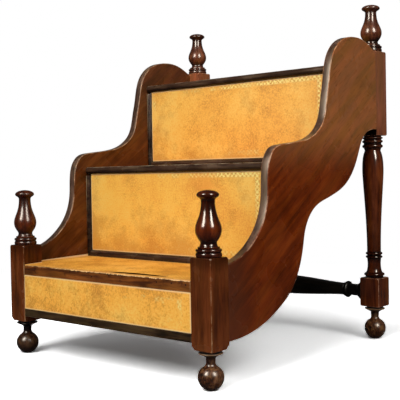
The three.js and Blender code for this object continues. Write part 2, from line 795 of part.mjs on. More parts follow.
for (const [hand, side] of [['left', -1], ['right', 1]]) {
  const x = side * postCentre;
  add(`front_post_${hand}`, frontPost(side), mahogany);
  add(`front_finial_${hand}`, finial(frontFinialHeight), mahogany, [x, postSquare / 2, frontPostTop]);
  add(`front_foot_${hand}`, foot(frontPostBottom), darkMahogany, [x, postSquare / 2, 0]);
  add(`rear_leg_${hand}`, rearLeg(side), mahogany);
  add(`rear_finial_${hand}`, finial(rearFinialHeight), mahogany, [x, rearPostCentre, upperBlockTop]);
  add(`rear_foot_${hand}`, foot(lowerBlockBottom), darkMahogany, [x, rearPostCentre, 0]);
  add(`side_panel_${hand}`, sidePanel(side), mahogany);
  add(`riser_two_bead_${hand}`, sideBead(side, riserTwo), darkMahogany);
  add(`riser_three_bead_${hand}`, sideBead(side, riserThree), darkMahogany);
  add(`glue_block_one_${hand}`, glueBlock(side, riserOne, treadOne), plainBoard);
  add(`glue_block_two_${hand}`, glueBlock(side, riserTwo, treadTwo), plainBoard);
  add(`glue_block_three_${hand}`, glueBlock(side, riserThree, treadThree), plainBoard);
}

add('tread_one_board', treadOneBoard(), plainBoard);
add('tread_one_leather', treadOneLeather(), tanLeather);
add('tread_one_lipping', lipping(), mahogany);
add('riser_one_board', riserBoard(riserOne, betweenPosts + housingDepth - clearance), plainBoard);
add('riser_one_leather', riserLeather(riserOne, betweenPosts - clearance, riserOne.bottom), tanLeather);
add('front_rail', rail([0, frontRailDepth], [frontRailBottom, frontRailTop]), darkMahogany);

add('tread_two_board', treadTwoBoard(), plainBoard);
add('tread_two_leather', treadTwoLeather(), tanLeather);
add('tread_two_nosing', nosing(treadTwo, nosingTwoFront), darkMahogany);
add('tread_three_board', treadThreeBoard(), plainBoard);
add('tread_three_leather', treadThreeLeather(), tanLeather);
add('tread_three_nosing', nosing(treadThree, nosingThreeFront), darkMahogany);
add('tread_three_back_edge', backEdge(), mahogany);

for (const [name, riser, treadTop] of [['two', riserTwo, treadOneTop], ['three', riserThree, treadTwoTop]]) {
  const leatherBottom = treadTop + bottomBeadHeight + clearance;
  add(`riser_${name}_board`, riserBoard(riser, inHousings), plainBoard);
  add(`riser_${name}_leather`, riserLeather(riser, betweenBeads - clearance, leatherBottom), tanLeather);
  add(`riser_${name}_bead_bottom`, bottomBead(riser, treadTop), darkMahogany);
}

add('back_rail', rail(backRailFaces(), backRailEdges()), mahogany);
add('rear_stretcher', stretcher(), darkMahogany);

// The pieces are drawn from the front of the posts backwards, so they move forward by half the depth.
steps.position.y = -overallDepth / 2;

export default steps;
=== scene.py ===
import math

import bmesh
import bpy
from mathutils import Matrix, Vector, noise
from mathutils.geometry import interpolate_bezier


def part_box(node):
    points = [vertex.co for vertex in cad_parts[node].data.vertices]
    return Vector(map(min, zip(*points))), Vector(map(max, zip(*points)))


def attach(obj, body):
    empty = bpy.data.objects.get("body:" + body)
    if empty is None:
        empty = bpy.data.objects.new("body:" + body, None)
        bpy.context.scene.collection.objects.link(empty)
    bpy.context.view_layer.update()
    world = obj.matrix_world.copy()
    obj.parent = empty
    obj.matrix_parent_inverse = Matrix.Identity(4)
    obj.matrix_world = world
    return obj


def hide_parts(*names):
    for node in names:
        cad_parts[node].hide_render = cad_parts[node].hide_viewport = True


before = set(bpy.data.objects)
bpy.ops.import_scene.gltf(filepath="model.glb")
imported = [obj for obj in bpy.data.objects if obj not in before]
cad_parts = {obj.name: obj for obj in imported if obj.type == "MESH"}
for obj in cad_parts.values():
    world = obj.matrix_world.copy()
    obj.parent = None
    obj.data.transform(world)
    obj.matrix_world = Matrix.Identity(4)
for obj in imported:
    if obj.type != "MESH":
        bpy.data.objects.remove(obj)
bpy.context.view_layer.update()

# Front posts: square mahogany, planed by hand and French polished, with the arrises worn soft and pale.
# Each stands on a turned foot and carries a finial, and its ends are eased at the corners.
# The riser, the front rail and the side panel are let into its faces.
mm = 0.001
arris_radius = 1.2 * mm
corner_ease = 3.4 * mm
lower_corner_ease = 8 * mm
handled_length = 30 * mm
same_place = 0.01 * mm
sharp_turn = math.radians(38)


def srgb(code):
    """The linear colour of an sRGB hex value."""
    channels = [int(code[i:i + 2], 16) / 255 for i in (0, 2, 4)]
    linear = [c / 12.92 if c <= 0.04045 else ((c + 0.055) / 1.055) ** 2.4 for c in channels]
    return (*linear, 1.0)


def add_node(tree, kind, settings=None, inputs=None, stops=None):
    """Adds a node, and gives it its settings, its values or links, and the stops of a colour ramp."""
    node = tree.nodes.new(kind)
    for name, value in (settings or {}).items():
        setattr(node, name, value)
    for name, value in (inputs or {}).items():
        if isinstance(value, bpy.types.NodeSocket):
            tree.links.new(value, node.inputs[name])
        else:
            node.inputs[name].default_value = value
    for i, (position, colour) in enumerate(stops or ()):
        elements = node.color_ramp.elements
        stop = elements[i] if i < 2 else elements.new(position)
        stop.position = position
        stop.color = colour
    return node


def wood_finish(name, deep, middle, pale, worn, turn=(0, 0, 0), shift=(0, 0, 0),
                ribbon=16 * mm, gloss=0.22, specular=0.16, depth=0.12, wear_reach=0.74, stretch=0.11,
                painted_lift_by_height=None):
    """Mahogany under French polish, or pine left dull, its grain along Z after the turn. It gives the eye
    ribbons of light and dark along the grain, fine dark pores, a gloss that is thicker in some places
    than in others, pale worn arrises and some painted highlights where a piece marks them, and painted
    shade with dark wax where a piece marks it. Where asked, it is painted lighter from one height to
    another, as painted light."""
    fibre_width = 2.2 * mm    # drawn coarse: real fibres are finer than the render can show
    pore_width = 1.1 * mm
    patch = 85 * mm
    rub = 22 * mm
    plane_mark_depth = 1.2 * mm
    pore_depth = 0.15 * mm
    material = bpy.data.materials.new(name)
    material.use_nodes = True
    tree = material.node_tree
    shader = tree.nodes["Principled BSDF"]
    spot = add_node(tree, "ShaderNodeTexCoord")
    turned = add_node(tree, "ShaderNodeMapping", inputs={
        "Vector": spot.outputs["Object"], "Rotation": turn, "Location": shift})
    long_grain = add_node(tree, "ShaderNodeMapping", inputs={
        "Vector": turned.outputs["Vector"], "Scale": (1, 1, stretch)})
    fine_grain = add_node(tree, "ShaderNodeMapping", inputs={
        "Vector": turned.outputs["Vector"], "Scale": (1, 1, 0.04)})
    ribbons = add_node(tree, "ShaderNodeTexNoise", inputs={
        "Vector": long_grain.outputs["Vector"], "Scale": 1 / ribbon, "Detail": 3, "Distortion": 0.5})
    fibres = add_node(tree, "ShaderNodeTexNoise", inputs={
        "Vector": fine_grain.outputs["Vector"], "Scale": 1 / fibre_width, "Detail": 2})
    patches = add_node(tree, "ShaderNodeTexNoise", inputs={
        "Vector": turned.outputs["Vector"], "Scale": 1 / patch, "Detail": 3, "Distortion": 0.3})
    figure = add_node(tree, "ShaderNodeMath", {"operation": "MULTIPLY_ADD"}, {
        0: patches.outputs["Fac"], 1: 0.7, 2: ribbons.outputs["Fac"]})
    grain = add_node(tree, "ShaderNodeMath", {"operation": "MULTIPLY_ADD"}, {
        0: fibres.outputs["Fac"], 1: 0.3, 2: figure.outputs[0]})
    shade = add_node(tree, "ShaderNodeMapRange", inputs={
        "Value": grain.outputs[0], "From Min": 0.8, "From Max": 1.2})
    wood = add_node(tree, "ShaderNodeValToRGB", inputs={0: shade.outputs[0]}, stops=[
        (0, srgb(deep)), (1, srgb(pale)), (0.5, srgb(middle))])
    streaks = add_node(tree, "ShaderNodeTexNoise", inputs={
        "Vector": long_grain.outputs["Vector"], "Scale": 0.6 / ribbon, "Detail": 2})
    olive = add_node(tree, "ShaderNodeMapRange", inputs={
        "Value": streaks.outputs["Fac"], "From Min": 0.44, "From Max": 0.6, "To Max": 0.6})
    tone = wood.outputs["Color"]
    # Painted light: from one height upwards the colour is lifted towards a lighter tint.
    if painted_lift_by_height:
        from_height, to_height, painted_lift_tint = painted_lift_by_height
        level = add_node(tree, "ShaderNodeSeparateXYZ", inputs={0: spot.outputs["Object"]})
        painted_lift_share = add_node(tree, "ShaderNodeMapRange", {"interpolation_type": "SMOOTHSTEP"}, {
            "Value": level.outputs["Z"], "From Min": from_height, "From Max": to_height})
        tinted = add_node(tree, "ShaderNodeMix", {"data_type": "RGBA", "blend_type": "ADD"}, {
            0: painted_lift_share.outputs[0], 6: tone, 7: srgb(painted_lift_tint)})
        tone = tinted.outputs[2]
    streaked = add_node(tree, "ShaderNodeMix", {"data_type": "RGBA", "blend_type": "MULTIPLY"}, {
        0: olive.outputs[0], 6: tone, 7: srgb("dcecc0")})
    pores = add_node(tree, "ShaderNodeTexNoise", inputs={
        "Vector": fine_grain.outputs["Vector"], "Scale": 1 / pore_width, "Detail": 1})
    open_pores = add_node(tree, "ShaderNodeMapRange", inputs={
        "Value": pores.outputs["Fac"], "From Min": 0.6, "From Max": 0.74})
    pored = add_node(tree, "ShaderNodeMix", {"data_type": "RGBA", "blend_type": "MULTIPLY"}, {
        0: open_pores.outputs[0], 6: streaked.outputs[2], 7: srgb("a08a80")})
    # The attribute read here darkens the wood with painted shade in hollows, under overhangs and on sides
    # turned from the light, and with some dark wax.
    hollows = add_node(tree, "ShaderNodeAttribute", {"attribute_name": "painted_shade_and_wax"})
    shade_and_wax = add_node(tree, "ShaderNodeMix", {"data_type": "RGBA", "blend_type": "MULTIPLY"}, {
        0: hollows.outputs["Fac"], 6: pored.outputs[2], 7: srgb("5a4a44")})
    edges = add_node(tree, "ShaderNodeAttribute", {"attribute_name": "wear_and_highlight"})
    rubs = add_node(tree, "ShaderNodeTexNoise", inputs={
        "Vector": turned.outputs["Vector"], "Scale": 1 / rub, "Detail": 5, "Roughness": 0.65})
    rubbed = add_node(tree, "ShaderNodeMath", {"operation": "MULTIPLY"}, {
        0: edges.outputs["Fac"], 1: rubs.outputs["Fac"]})
    bared = add_node(tree, "ShaderNodeMapRange", inputs={
        "Value": rubbed.outputs[0], "From Min": wear_reach - 0.3, "From Max": wear_reach, "To Max": 0.8})
    coloured = add_node(tree, "ShaderNodeMix", {"data_type": "RGBA"}, {
        0: bared.outputs[0], 6: shade_and_wax.outputs[2], 7: srgb(worn)})
    polish = add_node(tree, "ShaderNodeMapRange", inputs={
        "Value": patches.outputs["Fac"], "From Min": 0.35, "From Max": 0.7,
        "To Min": gloss - 0.05, "To Max": gloss + 0.09})
    dulled = add_node(tree, "ShaderNodeMath", {"operation": "MULTIPLY_ADD"}, {
        0: bared.outputs[0], 1: 0.2, 2: polish.outputs[0]})
    relief = add_node(tree, "ShaderNodeMath", {"operation": "SUBTRACT"}, {
        0: fibres.outputs["Fac"], 1: open_pores.outputs[0]})
    hand_planed = add_node(tree, "ShaderNodeBump", inputs={
        "Strength": 2 * depth, "Distance": plane_mark_depth, "Height": patches.outputs["Fac"]})
    surface = add_node(tree, "ShaderNodeBump", inputs={
        "Strength": depth, "Distance": pore_depth, "Height": relief.outputs[0],
        "Normal": hand_planed.outputs["Normal"]})
    tree.links.new(coloured.outputs[2], shader.inputs["Base Color"])
    tree.links.new(dulled.outputs[0], shader.inputs["Roughness"])
    tree.links.new(surface.outputs["Normal"], shader.inputs["Normal"])
    shader.inputs["IOR"].default_value = 1.5
    shader.inputs["Specular IOR Level"].default_value = specular
    return material


def layers_of(finish):
    """What a finish needs for one more layer: its node tree, the place on the object in X, Y and Z, and
    the socket of its colour."""
    tree = finish.node_tree
    spot = add_node(tree, "ShaderNodeTexCoord")
    place = add_node(tree, "ShaderNodeSeparateXYZ", inputs={0: spot.outputs["Object"]})
    return tree, place, tree.nodes["Principled BSDF"].inputs["Base Color"]


def mark(shape, layer_name, faces, value):
    """Marks the corners of some faces, such as with how worn they are. The value is a number, or a
    function that gives it for a corner's place."""
    layers = shape.loops.layers.float
    layer = layers.get(layer_name) or layers.new(layer_name)
    for face in faces:
        for loop in face.loops:
            loop[layer] = value(loop.vert.co) if callable(value) else value


def part_from(group):
    """Shades a group of faces apart from those round them, so that flat ones beside an arris stay flat."""
    for face in group:
        for edge in face.edges:
            if any(other not in group for other in edge.link_faces):
                edge.smooth = False


def parts_of(parts, faces):
    """Which of a shape's edges or corners belong to a set of faces, in the shape's own order, so that
    each run gives the same mesh."""
    return [part for part in parts if any(face in faces for face in part.link_faces)]


def add_block(shape, low, high, ease=0, radius=arris_radius, worn=1.0, joined=None, nipped=0):
    """Adds a square block between two corners, its eight corners eased, its arrises rounded and marked worn.
    The upright arrises stay sharp on the side, front or back, that is joined to the panel. Its lower corners
    are nipped off further where asked, apart from the one in front on the right."""
    before = set(shape.faces)
    made = bmesh.ops.create_cube(shape, size=1)["verts"]
    bmesh.ops.scale(shape, vec=[b - a for a, b in zip(low, high)], verts=made)
    bmesh.ops.translate(shape, vec=[(a + b) / 2 for a, b in zip(low, high)], verts=made)
    if nipped:
        corners = [v for v in made if v.co.z < (low[2] + high[2]) / 2
                   and (v.co.x < (low[0] + high[0]) / 2 or v.co.y > (low[1] + high[1]) / 2)]
        bmesh.ops.bevel(shape, geom=corners, affect="VERTICES", offset=nipped, segments=1,
                        profile=0.5, material=-1)
        made = [v for v in made if v.is_valid]
    if ease:
        bmesh.ops.bevel(shape, geom=made, affect="VERTICES", offset=ease, segments=1,
                        profile=0.5, material=-1)
    edges = parts_of(shape.edges, set(shape.faces) - before)
    if joined:
        wall = low[1] if joined == "front" else high[1]
        edges = [edge for edge in edges if any(abs(v.co.y - wall) > same_place for v in edge.verts)
                 or abs(edge.verts[0].co.z - edge.verts[1].co.z) < same_place]
    rounded = bmesh.ops.bevel(shape, geom=edges, affect="EDGES", offset=radius, segments=3,
                              profile=0.5, material=-1, clamp_overlap=True)
    part_from(set(rounded["faces"]))
    mark(shape, "wear_and_highlight", rounded["faces"], worn)


def finish_piece(name, shape, finishes, node):
    """Makes the object of a shape with its finishes, and hides the node that it stands for."""
    bmesh.ops.recalc_face_normals(shape, faces=shape.faces)
    for face in shape.faces:
        face.smooth = True
    for edge in shape.edges:
        if edge.calc_face_angle(0) > sharp_turn:
            edge.smooth = False
    mesh = bpy.data.meshes.new(name)
    shape.to_mesh(mesh)
    shape.free()
    for finish in finishes:
        mesh.materials.append(finish)
    piece = bpy.data.objects.new(name, mesh)
    bpy.context.scene.collection.objects.link(piece)
    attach(piece, "root")
    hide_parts(node)


post_wood = wood_finish("french_polished_mahogany_posts", "441d0a", "602c0e", "703818", "bc9064",
                        shift=(0.31, 0.12, 0.07))
tree, place, colour = layers_of(post_wood)
post_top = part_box("front_post_left")[1].z
near_top = add_node(tree, "ShaderNodeMapRange", {"interpolation_type": "SMOOTHSTEP"}, {
    "Value": place.outputs["Z"], "From Min": post_top - handled_length, "From Max": post_top, "To Max": 0.8})
hand_dirt_and_shade = add_node(tree, "ShaderNodeMix", {"data_type": "RGBA", "blend_type": "MULTIPLY"}, {
    0: near_top.outputs[0], 6: colour.links[0].from_socket, 7: srgb("a8a288")})
tree.links.new(hand_dirt_and_shade.outputs[2], colour)
for hand in ("left", "right"):
    low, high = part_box(f"front_post_{hand}")
    post = bmesh.new()
    add_block(post, low, high, ease=corner_ease, worn=0.6, joined="back", nipped=lower_corner_ease)
    # The front arris on the right is rubbed bare, and the left post's inner face gets painted shade.
    front_arris = [face for face in post.faces
                   if high.x - face.calc_center_median().x < 2 * arris_radius
                   and face.calc_center_median().y - low.y < 2 * arris_radius]
    mark(post, "wear_and_highlight", front_arris, 1.1)
    if hand == "left":
        mark(post, "painted_shade_and_wax", [face for face in post.faces if face.normal.x > 0.9], 0.5)
    finish_piece(f"post_front_{hand}", post, [post_wood], f"front_post_{hand}")

# Finials: mahogany turned on a lathe to a collar of two rings, a waist, a vase bulb, a neck and a knob.
# Each is polished while it spins, so the bulb is the glossiest part, and its spigot is glued in the post.
# The rear pair is the same pattern, a little shorter and drier, and the front left one has gone dull.
turning_steps = 72
finial_collar_radius = 24.8 * mm
finial_step_radius = 20.8 * mm
finial_waist_radius = 15.5 * mm
finial_bulb_radius = 24.9 * mm
finial_neck_radius = 13.1 * mm
finial_knob_radius = 21.2 * mm


def point(radius, height, worn=0.0, dark=0.0):
    """A point of a turned profile, with its wear, which can also mark a painted highlight, and how much
    painted shade and wax darken it.
    """
    return (radius, height, worn, dark)


def ring(low, high, inner, outer, steps=9):
    """A half-round ring, worn on its crest, with painted shade at its foot."""
    points = []
    for i in range(steps + 1):
        angle = math.pi * (i / steps - 0.5)
        swell = math.cos(angle)
        height = (low + high) / 2 + (high - low) / 2 * math.sin(angle)
        points.append(point(inner + (outer - inner) * swell, height, 0.6 * swell ** 3, 1 - 0.35 * swell))
    return points


def sweep(start, end, leave, arrive, steps, dark=(0.0, 0.0)):
    """A smooth curve between two places, upright at both, with shares for how slowly it turns, and painted
    shade that changes from one value to another along it.
    """
    rise = end[1] - start[1]
    places = interpolate_bezier(
        (start[0], 0, start[1]), (start[0], 0, start[1] + leave * rise),
        (end[0], 0, end[1] - arrive * rise), (end[0], 0, end[1]), steps)
    shares = [i / (steps - 1) for i in range(steps)]
    return [point(p.x, p.z, 0, dark[0] + (dark[1] - dark[0]) * s) for p, s in zip(places, shares)]


def add_turning(shape, profile, place, along=(0, 0, 1)):
    """Spins a profile about its axis, closes it, and puts it at its place."""
    wear_and_highlight = shape.verts.layers.float.get("round_rubs_and_highlight") or shape.verts.layers.float.new("round_rubs_and_highlight")
    dark = shape.verts.layers.float.get("painted_shade_and_wax") or shape.verts.layers.float.new("painted_shade_and_wax")
    before = set(shape.verts)
    line = []
    for radius, height, worn, shade_and_wax in profile:
        vert = shape.verts.new((radius, 0, height))
        vert[wear_and_highlight] = worn
        vert[dark] = shade_and_wax
        line.append(vert)
    edges = [shape.edges.new(pair) for pair in zip(line, line[1:])]
    bmesh.ops.spin(shape, geom=line + edges, cent=(0, 0, 0), axis=(0, 0, 1), dvec=(0, 0, 0),
                   angle=math.tau, steps=turning_steps, use_merge=True)
    spun = [v for v in shape.verts if v not in before]
    bmesh.ops.remove_doubles(shape, verts=spun, dist=same_place)
    spun = [v for v in shape.verts if v not in before]
    turn = Vector((0, 0, 1)).rotation_difference(Vector(along)).to_matrix().to_4x4()
    bmesh.ops.transform(shape, matrix=Matrix.Translation(place) @ turn, verts=spun)
    loops = shape.loops.layers.float.get("wear_and_highlight") or shape.loops.layers.float.new("wear_and_highlight")
    for vert in spun:
        for loop in vert.link_loops:
            loop[loops] = vert[wear_and_highlight]


def finial_profile(h):
    """The profile of a finial of height h, from its seat on the post to the top of its knob. Painted shade
    darkens it most at its seat and waist and least on the belly of the bulb.
    """
    groove = (finial_collar_radius + finial_step_radius) / 2
    dome = []
    for i in range(1, 12):
        angle = math.pi / 2 * i / 12
        dome.append(point(finial_knob_radius * math.cos(angle), 0.925 * h + 0.075 * h * math.sin(angle),
                          0.7 * math.sin(2 * angle), 0.6))
    return [
        point(0, 0), point(groove, 0, 0, 1),
        *ring(0, 0.07 * h, groove, finial_collar_radius),
        *ring(0.08 * h, 0.125 * h, groove, finial_collar_radius),
        point(finial_step_radius, 0.125 * h, 0, 1), point(finial_step_radius, 0.155 * h, 0.6, 0),
        *sweep(((finial_step_radius + finial_waist_radius) / 2, 0.155 * h), (finial_waist_radius, 0.21 * h),
               0.1, 0.6, 8, (0.7, 0.8)),
        *sweep((finial_waist_radius, 0.21 * h), (finial_bulb_radius, 0.405 * h), 0.18, 0.55, 14, (1.1, 0)),
        *sweep((finial_bulb_radius, 0.405 * h), (finial_neck_radius, 0.835 * h), 0.29, 0.55, 18, (0, 0.8)),
        *sweep((finial_neck_radius, 0.835 * h), (finial_knob_radius, 0.925 * h), 0.6, 0.5, 10, (0.9, 0.6)),
        *dome, point(0, h),
    ]


finial_wood = wood_finish("french_polished_mahogany_turned", "380f01", "501a03", "6a2a08", "9a6a48",
                          shift=(0.11, 0.2, 0.4), ribbon=14 * mm, gloss=0.15, specular=0.28,
                          depth=0.015, wear_reach=0.85)
dull_finial_wood = wood_finish("dulled_mahogany_turned", "380f01", "4e1c05", "6a2e0e", "a07450",
                               shift=(0.31, 0.2, 0.1), ribbon=11 * mm, gloss=0.24, specular=0.26,
                               depth=0.04, wear_reach=0.8)
rear_finial_wood = wood_finish("dry_mahogany_turned", "46200f", "6a3620", "8e5238", "c0906c",
                               shift=(0.5, 0.3, 0.4), ribbon=10 * mm, gloss=0.25, specular=0.34,
                               depth=0.1, wear_reach=0.8)
for hand in ("left", "right"):
    front_wood = dull_finial_wood if hand == "left" else finial_wood
    for end, post_name, wood in (("front", f"front_post_{hand}", front_wood),
                                 ("rear", f"rear_leg_{hand}", rear_finial_wood)):
        post_low, post_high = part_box(post_name)
        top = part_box(f"{end}_finial_{hand}")[1].z
        seat = ((post_low.x + post_high.x) / 2, (post_low.y + post_high.y) / 2, post_high.z)
        finial = bmesh.new()
        add_turning(finial, finial_profile(top - post_high.z), seat)
        finish_piece(f"finial_{end}_{hand}", finial, [wood], f"{end}_finial_{hand}")

# Feet: turned balls under thin necks and flared bells, of the same mahogany gone dark with floor dirt and
# wax. Painted shade darkens the underside of the ball and of the bell, and a painted highlight lies on the
# bell's rim. They are pegged into the posts above, and rest on small flats. The front left one is painted
# darker all over, and its rim has no painted highlight.
foot_pad_radius = 8 * mm
foot_ball_radius = 24.9 * mm
foot_neck_radius = 9.4 * mm
foot_rim_radius = 23.6 * mm
foot_rim_step = 1 * mm
foot_tenon_radius = 19 * mm


def foot_profile(h):
    """The profile of a foot of height h, from its flat on the floor to the post. Painted shade darkens its
    flat, the lower half of the ball, the neck and the bell, and its rim is marked fully worn for a painted
    highlight.
    """
    middle, ball_top = 0.33 * h, 0.63 * h
    leave = math.radians(56)
    pad = -math.acos(foot_pad_radius / foot_ball_radius)
    lower, upper = middle / math.sin(-pad), ball_top - middle
    ball = []
    for i in range(25):
        angle = pad + (leave - pad) * i / 24
        stretch = lower if angle < 0 else upper
        ball.append(point(foot_ball_radius * math.cos(angle), middle + stretch * math.sin(angle),
                          0, max(0, -0.7 * math.sin(angle))))
    shoulder_from, neck = ball[-1], (foot_neck_radius, 0.79 * h)
    handle = 0.5 * (neck[1] - shoulder_from[1])
    shoulder = interpolate_bezier(
        (shoulder_from[0], 0, shoulder_from[1]),
        (shoulder_from[0] - handle * math.sin(leave), 0, shoulder_from[1] + handle * math.cos(leave)),
        (neck[0], 0, neck[1] - handle), (neck[0], 0, neck[1]), 10)
    return [
        point(0, 0, 0, 1), *ball, *[point(p.x, p.z, 0, 0.5 * i / 9) for i, p in enumerate(shoulder)],
        *sweep(neck, (foot_rim_radius - foot_rim_step, 0.903 * h), 0.5, 0.1, 14, (0.8, 1)),
        *[point(r, z, 1, 0.2) for r, z, *_ in ring(0.905 * h, 0.935 * h, foot_rim_radius - foot_rim_step,
                                                   foot_rim_radius, 5)],
        point(foot_tenon_radius, 0.94 * h, 0, 1), point(foot_tenon_radius, h, 0, 1), point(0, h),
    ]


foot_wood = wood_finish("waxed_mahogany_feet", "1e0d05", "4e2813", "805636", "92704e",
                        shift=(0.5, 0.1, 0.2), ribbon=5 * mm, gloss=0.26, specular=0.32, depth=0.05,
                        wear_reach=0.5, stretch=0.7)
for hand in ("left", "right"):
    for end, post_name in (("front", f"front_post_{hand}"), ("rear", f"rear_leg_{hand}")):
        post_low, post_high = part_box(post_name)
        stand = ((post_low.x + post_high.x) / 2, (post_low.y + post_high.y) / 2, 0)
        foot = bmesh.new()
        add_turning(foot, foot_profile(post_low.z), stand)
        # The front left foot is painted darker all over, and loses its marks of wear and painted highlight.
        if (end, hand) == ("front", "left"):
            dark = foot.verts.layers.float["painted_shade_and_wax"]
            wear_and_highlight = foot.loops.layers.float["wear_and_highlight"]
            for vert in foot.verts:
                vert[dark] = min(1, vert[dark] + 0.65)
                for loop in vert.link_loops:
                    loop[wear_and_highlight] = 0
        finish_piece(f"foot_{end}_{hand}", foot, [foot_wood], f"{end}_foot_{hand}")

# Rear legs: one stick each, left square below for the stretcher and above for the panel and back rail.
# Between the squares it is turned to an ankle, two rings, a long swelling shaft and three rings. The side
# of the shaft turned to the left gets painted shade, the corner under the panel is painted near black as
# shade, the rings are darker at their feet as painted shade, and the wood is painted lighter towards the
# top as painted light.
lower_block_height = 68 * mm
upper_block_height = 198 * mm
leg_ring_radius = 24 * mm
leg_groove_radius = 20.5 * mm
leg_neck_radius = 18.4 * mm
leg_swell_radius = 24.9 * mm
leg_taper_radius = 16.2 * mm
leg_ankle_ring_radius = 19.6 * mm
leg_ankle_radius = 15.3 * mm
painted_shade_top, painted_shade_full = 40 * mm, 10 * mm


def shaft_profile(h):
    """The profile of the turned part of a leg, h long, from the lower block to the upper one."""
    return [
        point(0, 0), point(leg_groove_radius, 0, 0, 1),
        *ring(0.012 * h, 0.033 * h, leg_groove_radius, leg_ring_radius),
        *sweep((leg_ankle_ring_radius, 0.036 * h), (leg_ankle_radius, 0.101 * h), 0.02, 0.9, 12, (0.7, 0)),
        *ring(0.137 * h, 0.154 * h, leg_taper_radius, leg_ankle_ring_radius),
        *ring(0.161 * h, 0.179 * h, leg_taper_radius, leg_ankle_ring_radius),
        *sweep((leg_taper_radius, 0.19 * h), (leg_swell_radius, 0.76 * h), 0.44, 0.15, 30),
        *sweep((leg_swell_radius, 0.76 * h), (leg_neck_radius, 0.897 * h), 0.8, 0.06, 16, (0, 0.5)),
        *ring(0.915 * h, 0.938 * h, leg_groove_radius, leg_ring_radius),
        *ring(0.95 * h, 0.97 * h, leg_groove_radius, leg_ring_radius),
        *ring(0.977 * h, 0.991 * h, leg_groove_radius, leg_ring_radius),
        point(leg_groove_radius, h, 0, 1), point(0, h),
    ]


leg_wood = wood_finish("french_polished_mahogany_legs", "3a1304", "55230b", "723616", "c09070",
                       shift=(0.7, 0.3, 0.1), ribbon=14 * mm, gloss=0.15, specular=0.29,
                       depth=0.03, wear_reach=0.68, painted_lift_by_height=(0.42, 0.56, "784c36"))
leg_low, leg_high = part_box("rear_leg_left")
upper_block_bottom = leg_high.z - upper_block_height
# Painted shade: the lowest part of each upper block's front face, under the panel, is painted near black.
tree, place, colour = layers_of(leg_wood)
front_face = add_node(tree, "ShaderNodeMapRange", inputs={
    "Value": place.outputs["Y"], "From Min": leg_low.y + 0.6 * mm, "From Max": leg_low.y + 0.2 * mm})
under_panel = add_node(tree, "ShaderNodeMapRange", inputs={
    "Value": place.outputs["Z"], "From Min": upper_block_bottom + painted_shade_top,
    "From Max": upper_block_bottom + painted_shade_full})
hollow = add_node(tree, "ShaderNodeMath", {"operation": "MULTIPLY"}, {
    0: front_face.outputs[0], 1: under_panel.outputs[0]})
above_shaft = add_node(tree, "ShaderNodeMath", {"operation": "GREATER_THAN"}, {
    0: place.outputs["Z"], 1: upper_block_bottom})
painted_shade = add_node(tree, "ShaderNodeMath", {"operation": "MULTIPLY"}, {
    0: hollow.outputs[0], 1: above_shaft.outputs[0]})
shaded_leg_colour = add_node(tree, "ShaderNodeMix", {"data_type": "RGBA"}, {
    0: painted_shade.outputs[0], 6: colour.links[0].from_socket, 7: srgb("0c0502")})
tree.links.new(shaded_leg_colour.outputs[2], colour)
for hand in ("left", "right"):
    low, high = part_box(f"rear_leg_{hand}")
    lower_top = low.z + lower_block_height
    upper_bottom = high.z - upper_block_height
    leg = bmesh.new()
    add_block(leg, low, (high.x, high.y, lower_top), ease=corner_ease)
    add_block(leg, (low.x, low.y, upper_bottom), high, ease=corner_ease, joined="front")
    axis_x, axis_y = (low.x + high.x) / 2, (low.y + high.y) / 2
    add_turning(leg, shaft_profile(upper_bottom - lower_top), (axis_x, axis_y, lower_top))
    # Painted shade: the side of the shaft turned to the left is darkened.
    dark = leg.verts.layers.float["painted_shade_and_wax"]
    for vert in leg.verts:
        turned_away = (axis_x - vert.co.x) / leg_swell_radius
        if lower_top < vert.co.z < upper_bottom and turned_away > 0.3:
            vert[dark] = min(1, vert[dark] + turned_away)
    finish_piece(f"leg_rear_{hand}", leg, [leg_wood], f"rear_leg_{hand}")

# Side panels: one wide mahogany board each, sawn to a serpentine line that follows the treads.
# The board lies on the slope of the steps, so its flamed grain climbs with them.
# It is tongued into the post and the leg, and the treads and risers are housed in its inner face.
post_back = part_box("front_post_left")[1].y
riser_two_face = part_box("riser_two_leather")[0].y
riser_three_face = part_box("riser_three_leather")[0].y
leg_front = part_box("rear_leg_left")[0].y
goings = [(post_back, riser_two_face), (riser_two_face, riser_three_face), (riser_three_face, leg_front)]
tread_tops = [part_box(f"tread_{count}_leather")[1].z for count in ("one", "two", "three")]
rises = [(tread_tops[0], tread_tops[1]), (tread_tops[1], tread_tops[2])]
panel_below_post_top = 14 * mm
lobe_above_tread = 68 * mm
panel_above_block = 13.5 * mm
panel_below_leg_top = 6 * mm
panel_thickness = 19 * mm
edge_bevel = 1.7 * mm
painted_shade_depth = 110 * mm

# Each node of an edge: which going and share of it, which rise and share of it, and the slope there.
top_edge_nodes = [
    (0, 0.5, 0, 0.323, 43), (0, 0.738, 0, 0.747, 88), (0, 0.849, 0, 1.101, 46), (1, 0.092, 1, 0.171, 7),
    (1, 0.668, 1, 0.338, 41), (1, 0.816, 1, 0.723, 74), (1, 0.954, 1, 1.15, 50),
]
lower_edge_nodes = [
    (1, 0.032, 0, -0.288, 33), (1, 0.357, 0, 0.258, 79), (1, 0.488, 0, 0.505, 44), (1, 0.82, 0, 0.65, 16.5),
    (2, 0.259, 1, -0.178, 41), (2, 0.554, 1, 0.164, 64), (2, 0.729, 1, 0.312, 27),
]


def share_of(span, share):
    """The value at a share of the way between two."""
    return span[0] + share * (span[1] - span[0])


def placed(nodes):
    """The nodes of an edge as Y, Z and slope."""
    return [(share_of(goings[g], a), share_of(rises[r], u), slope) for g, a, r, u, slope in nodes]


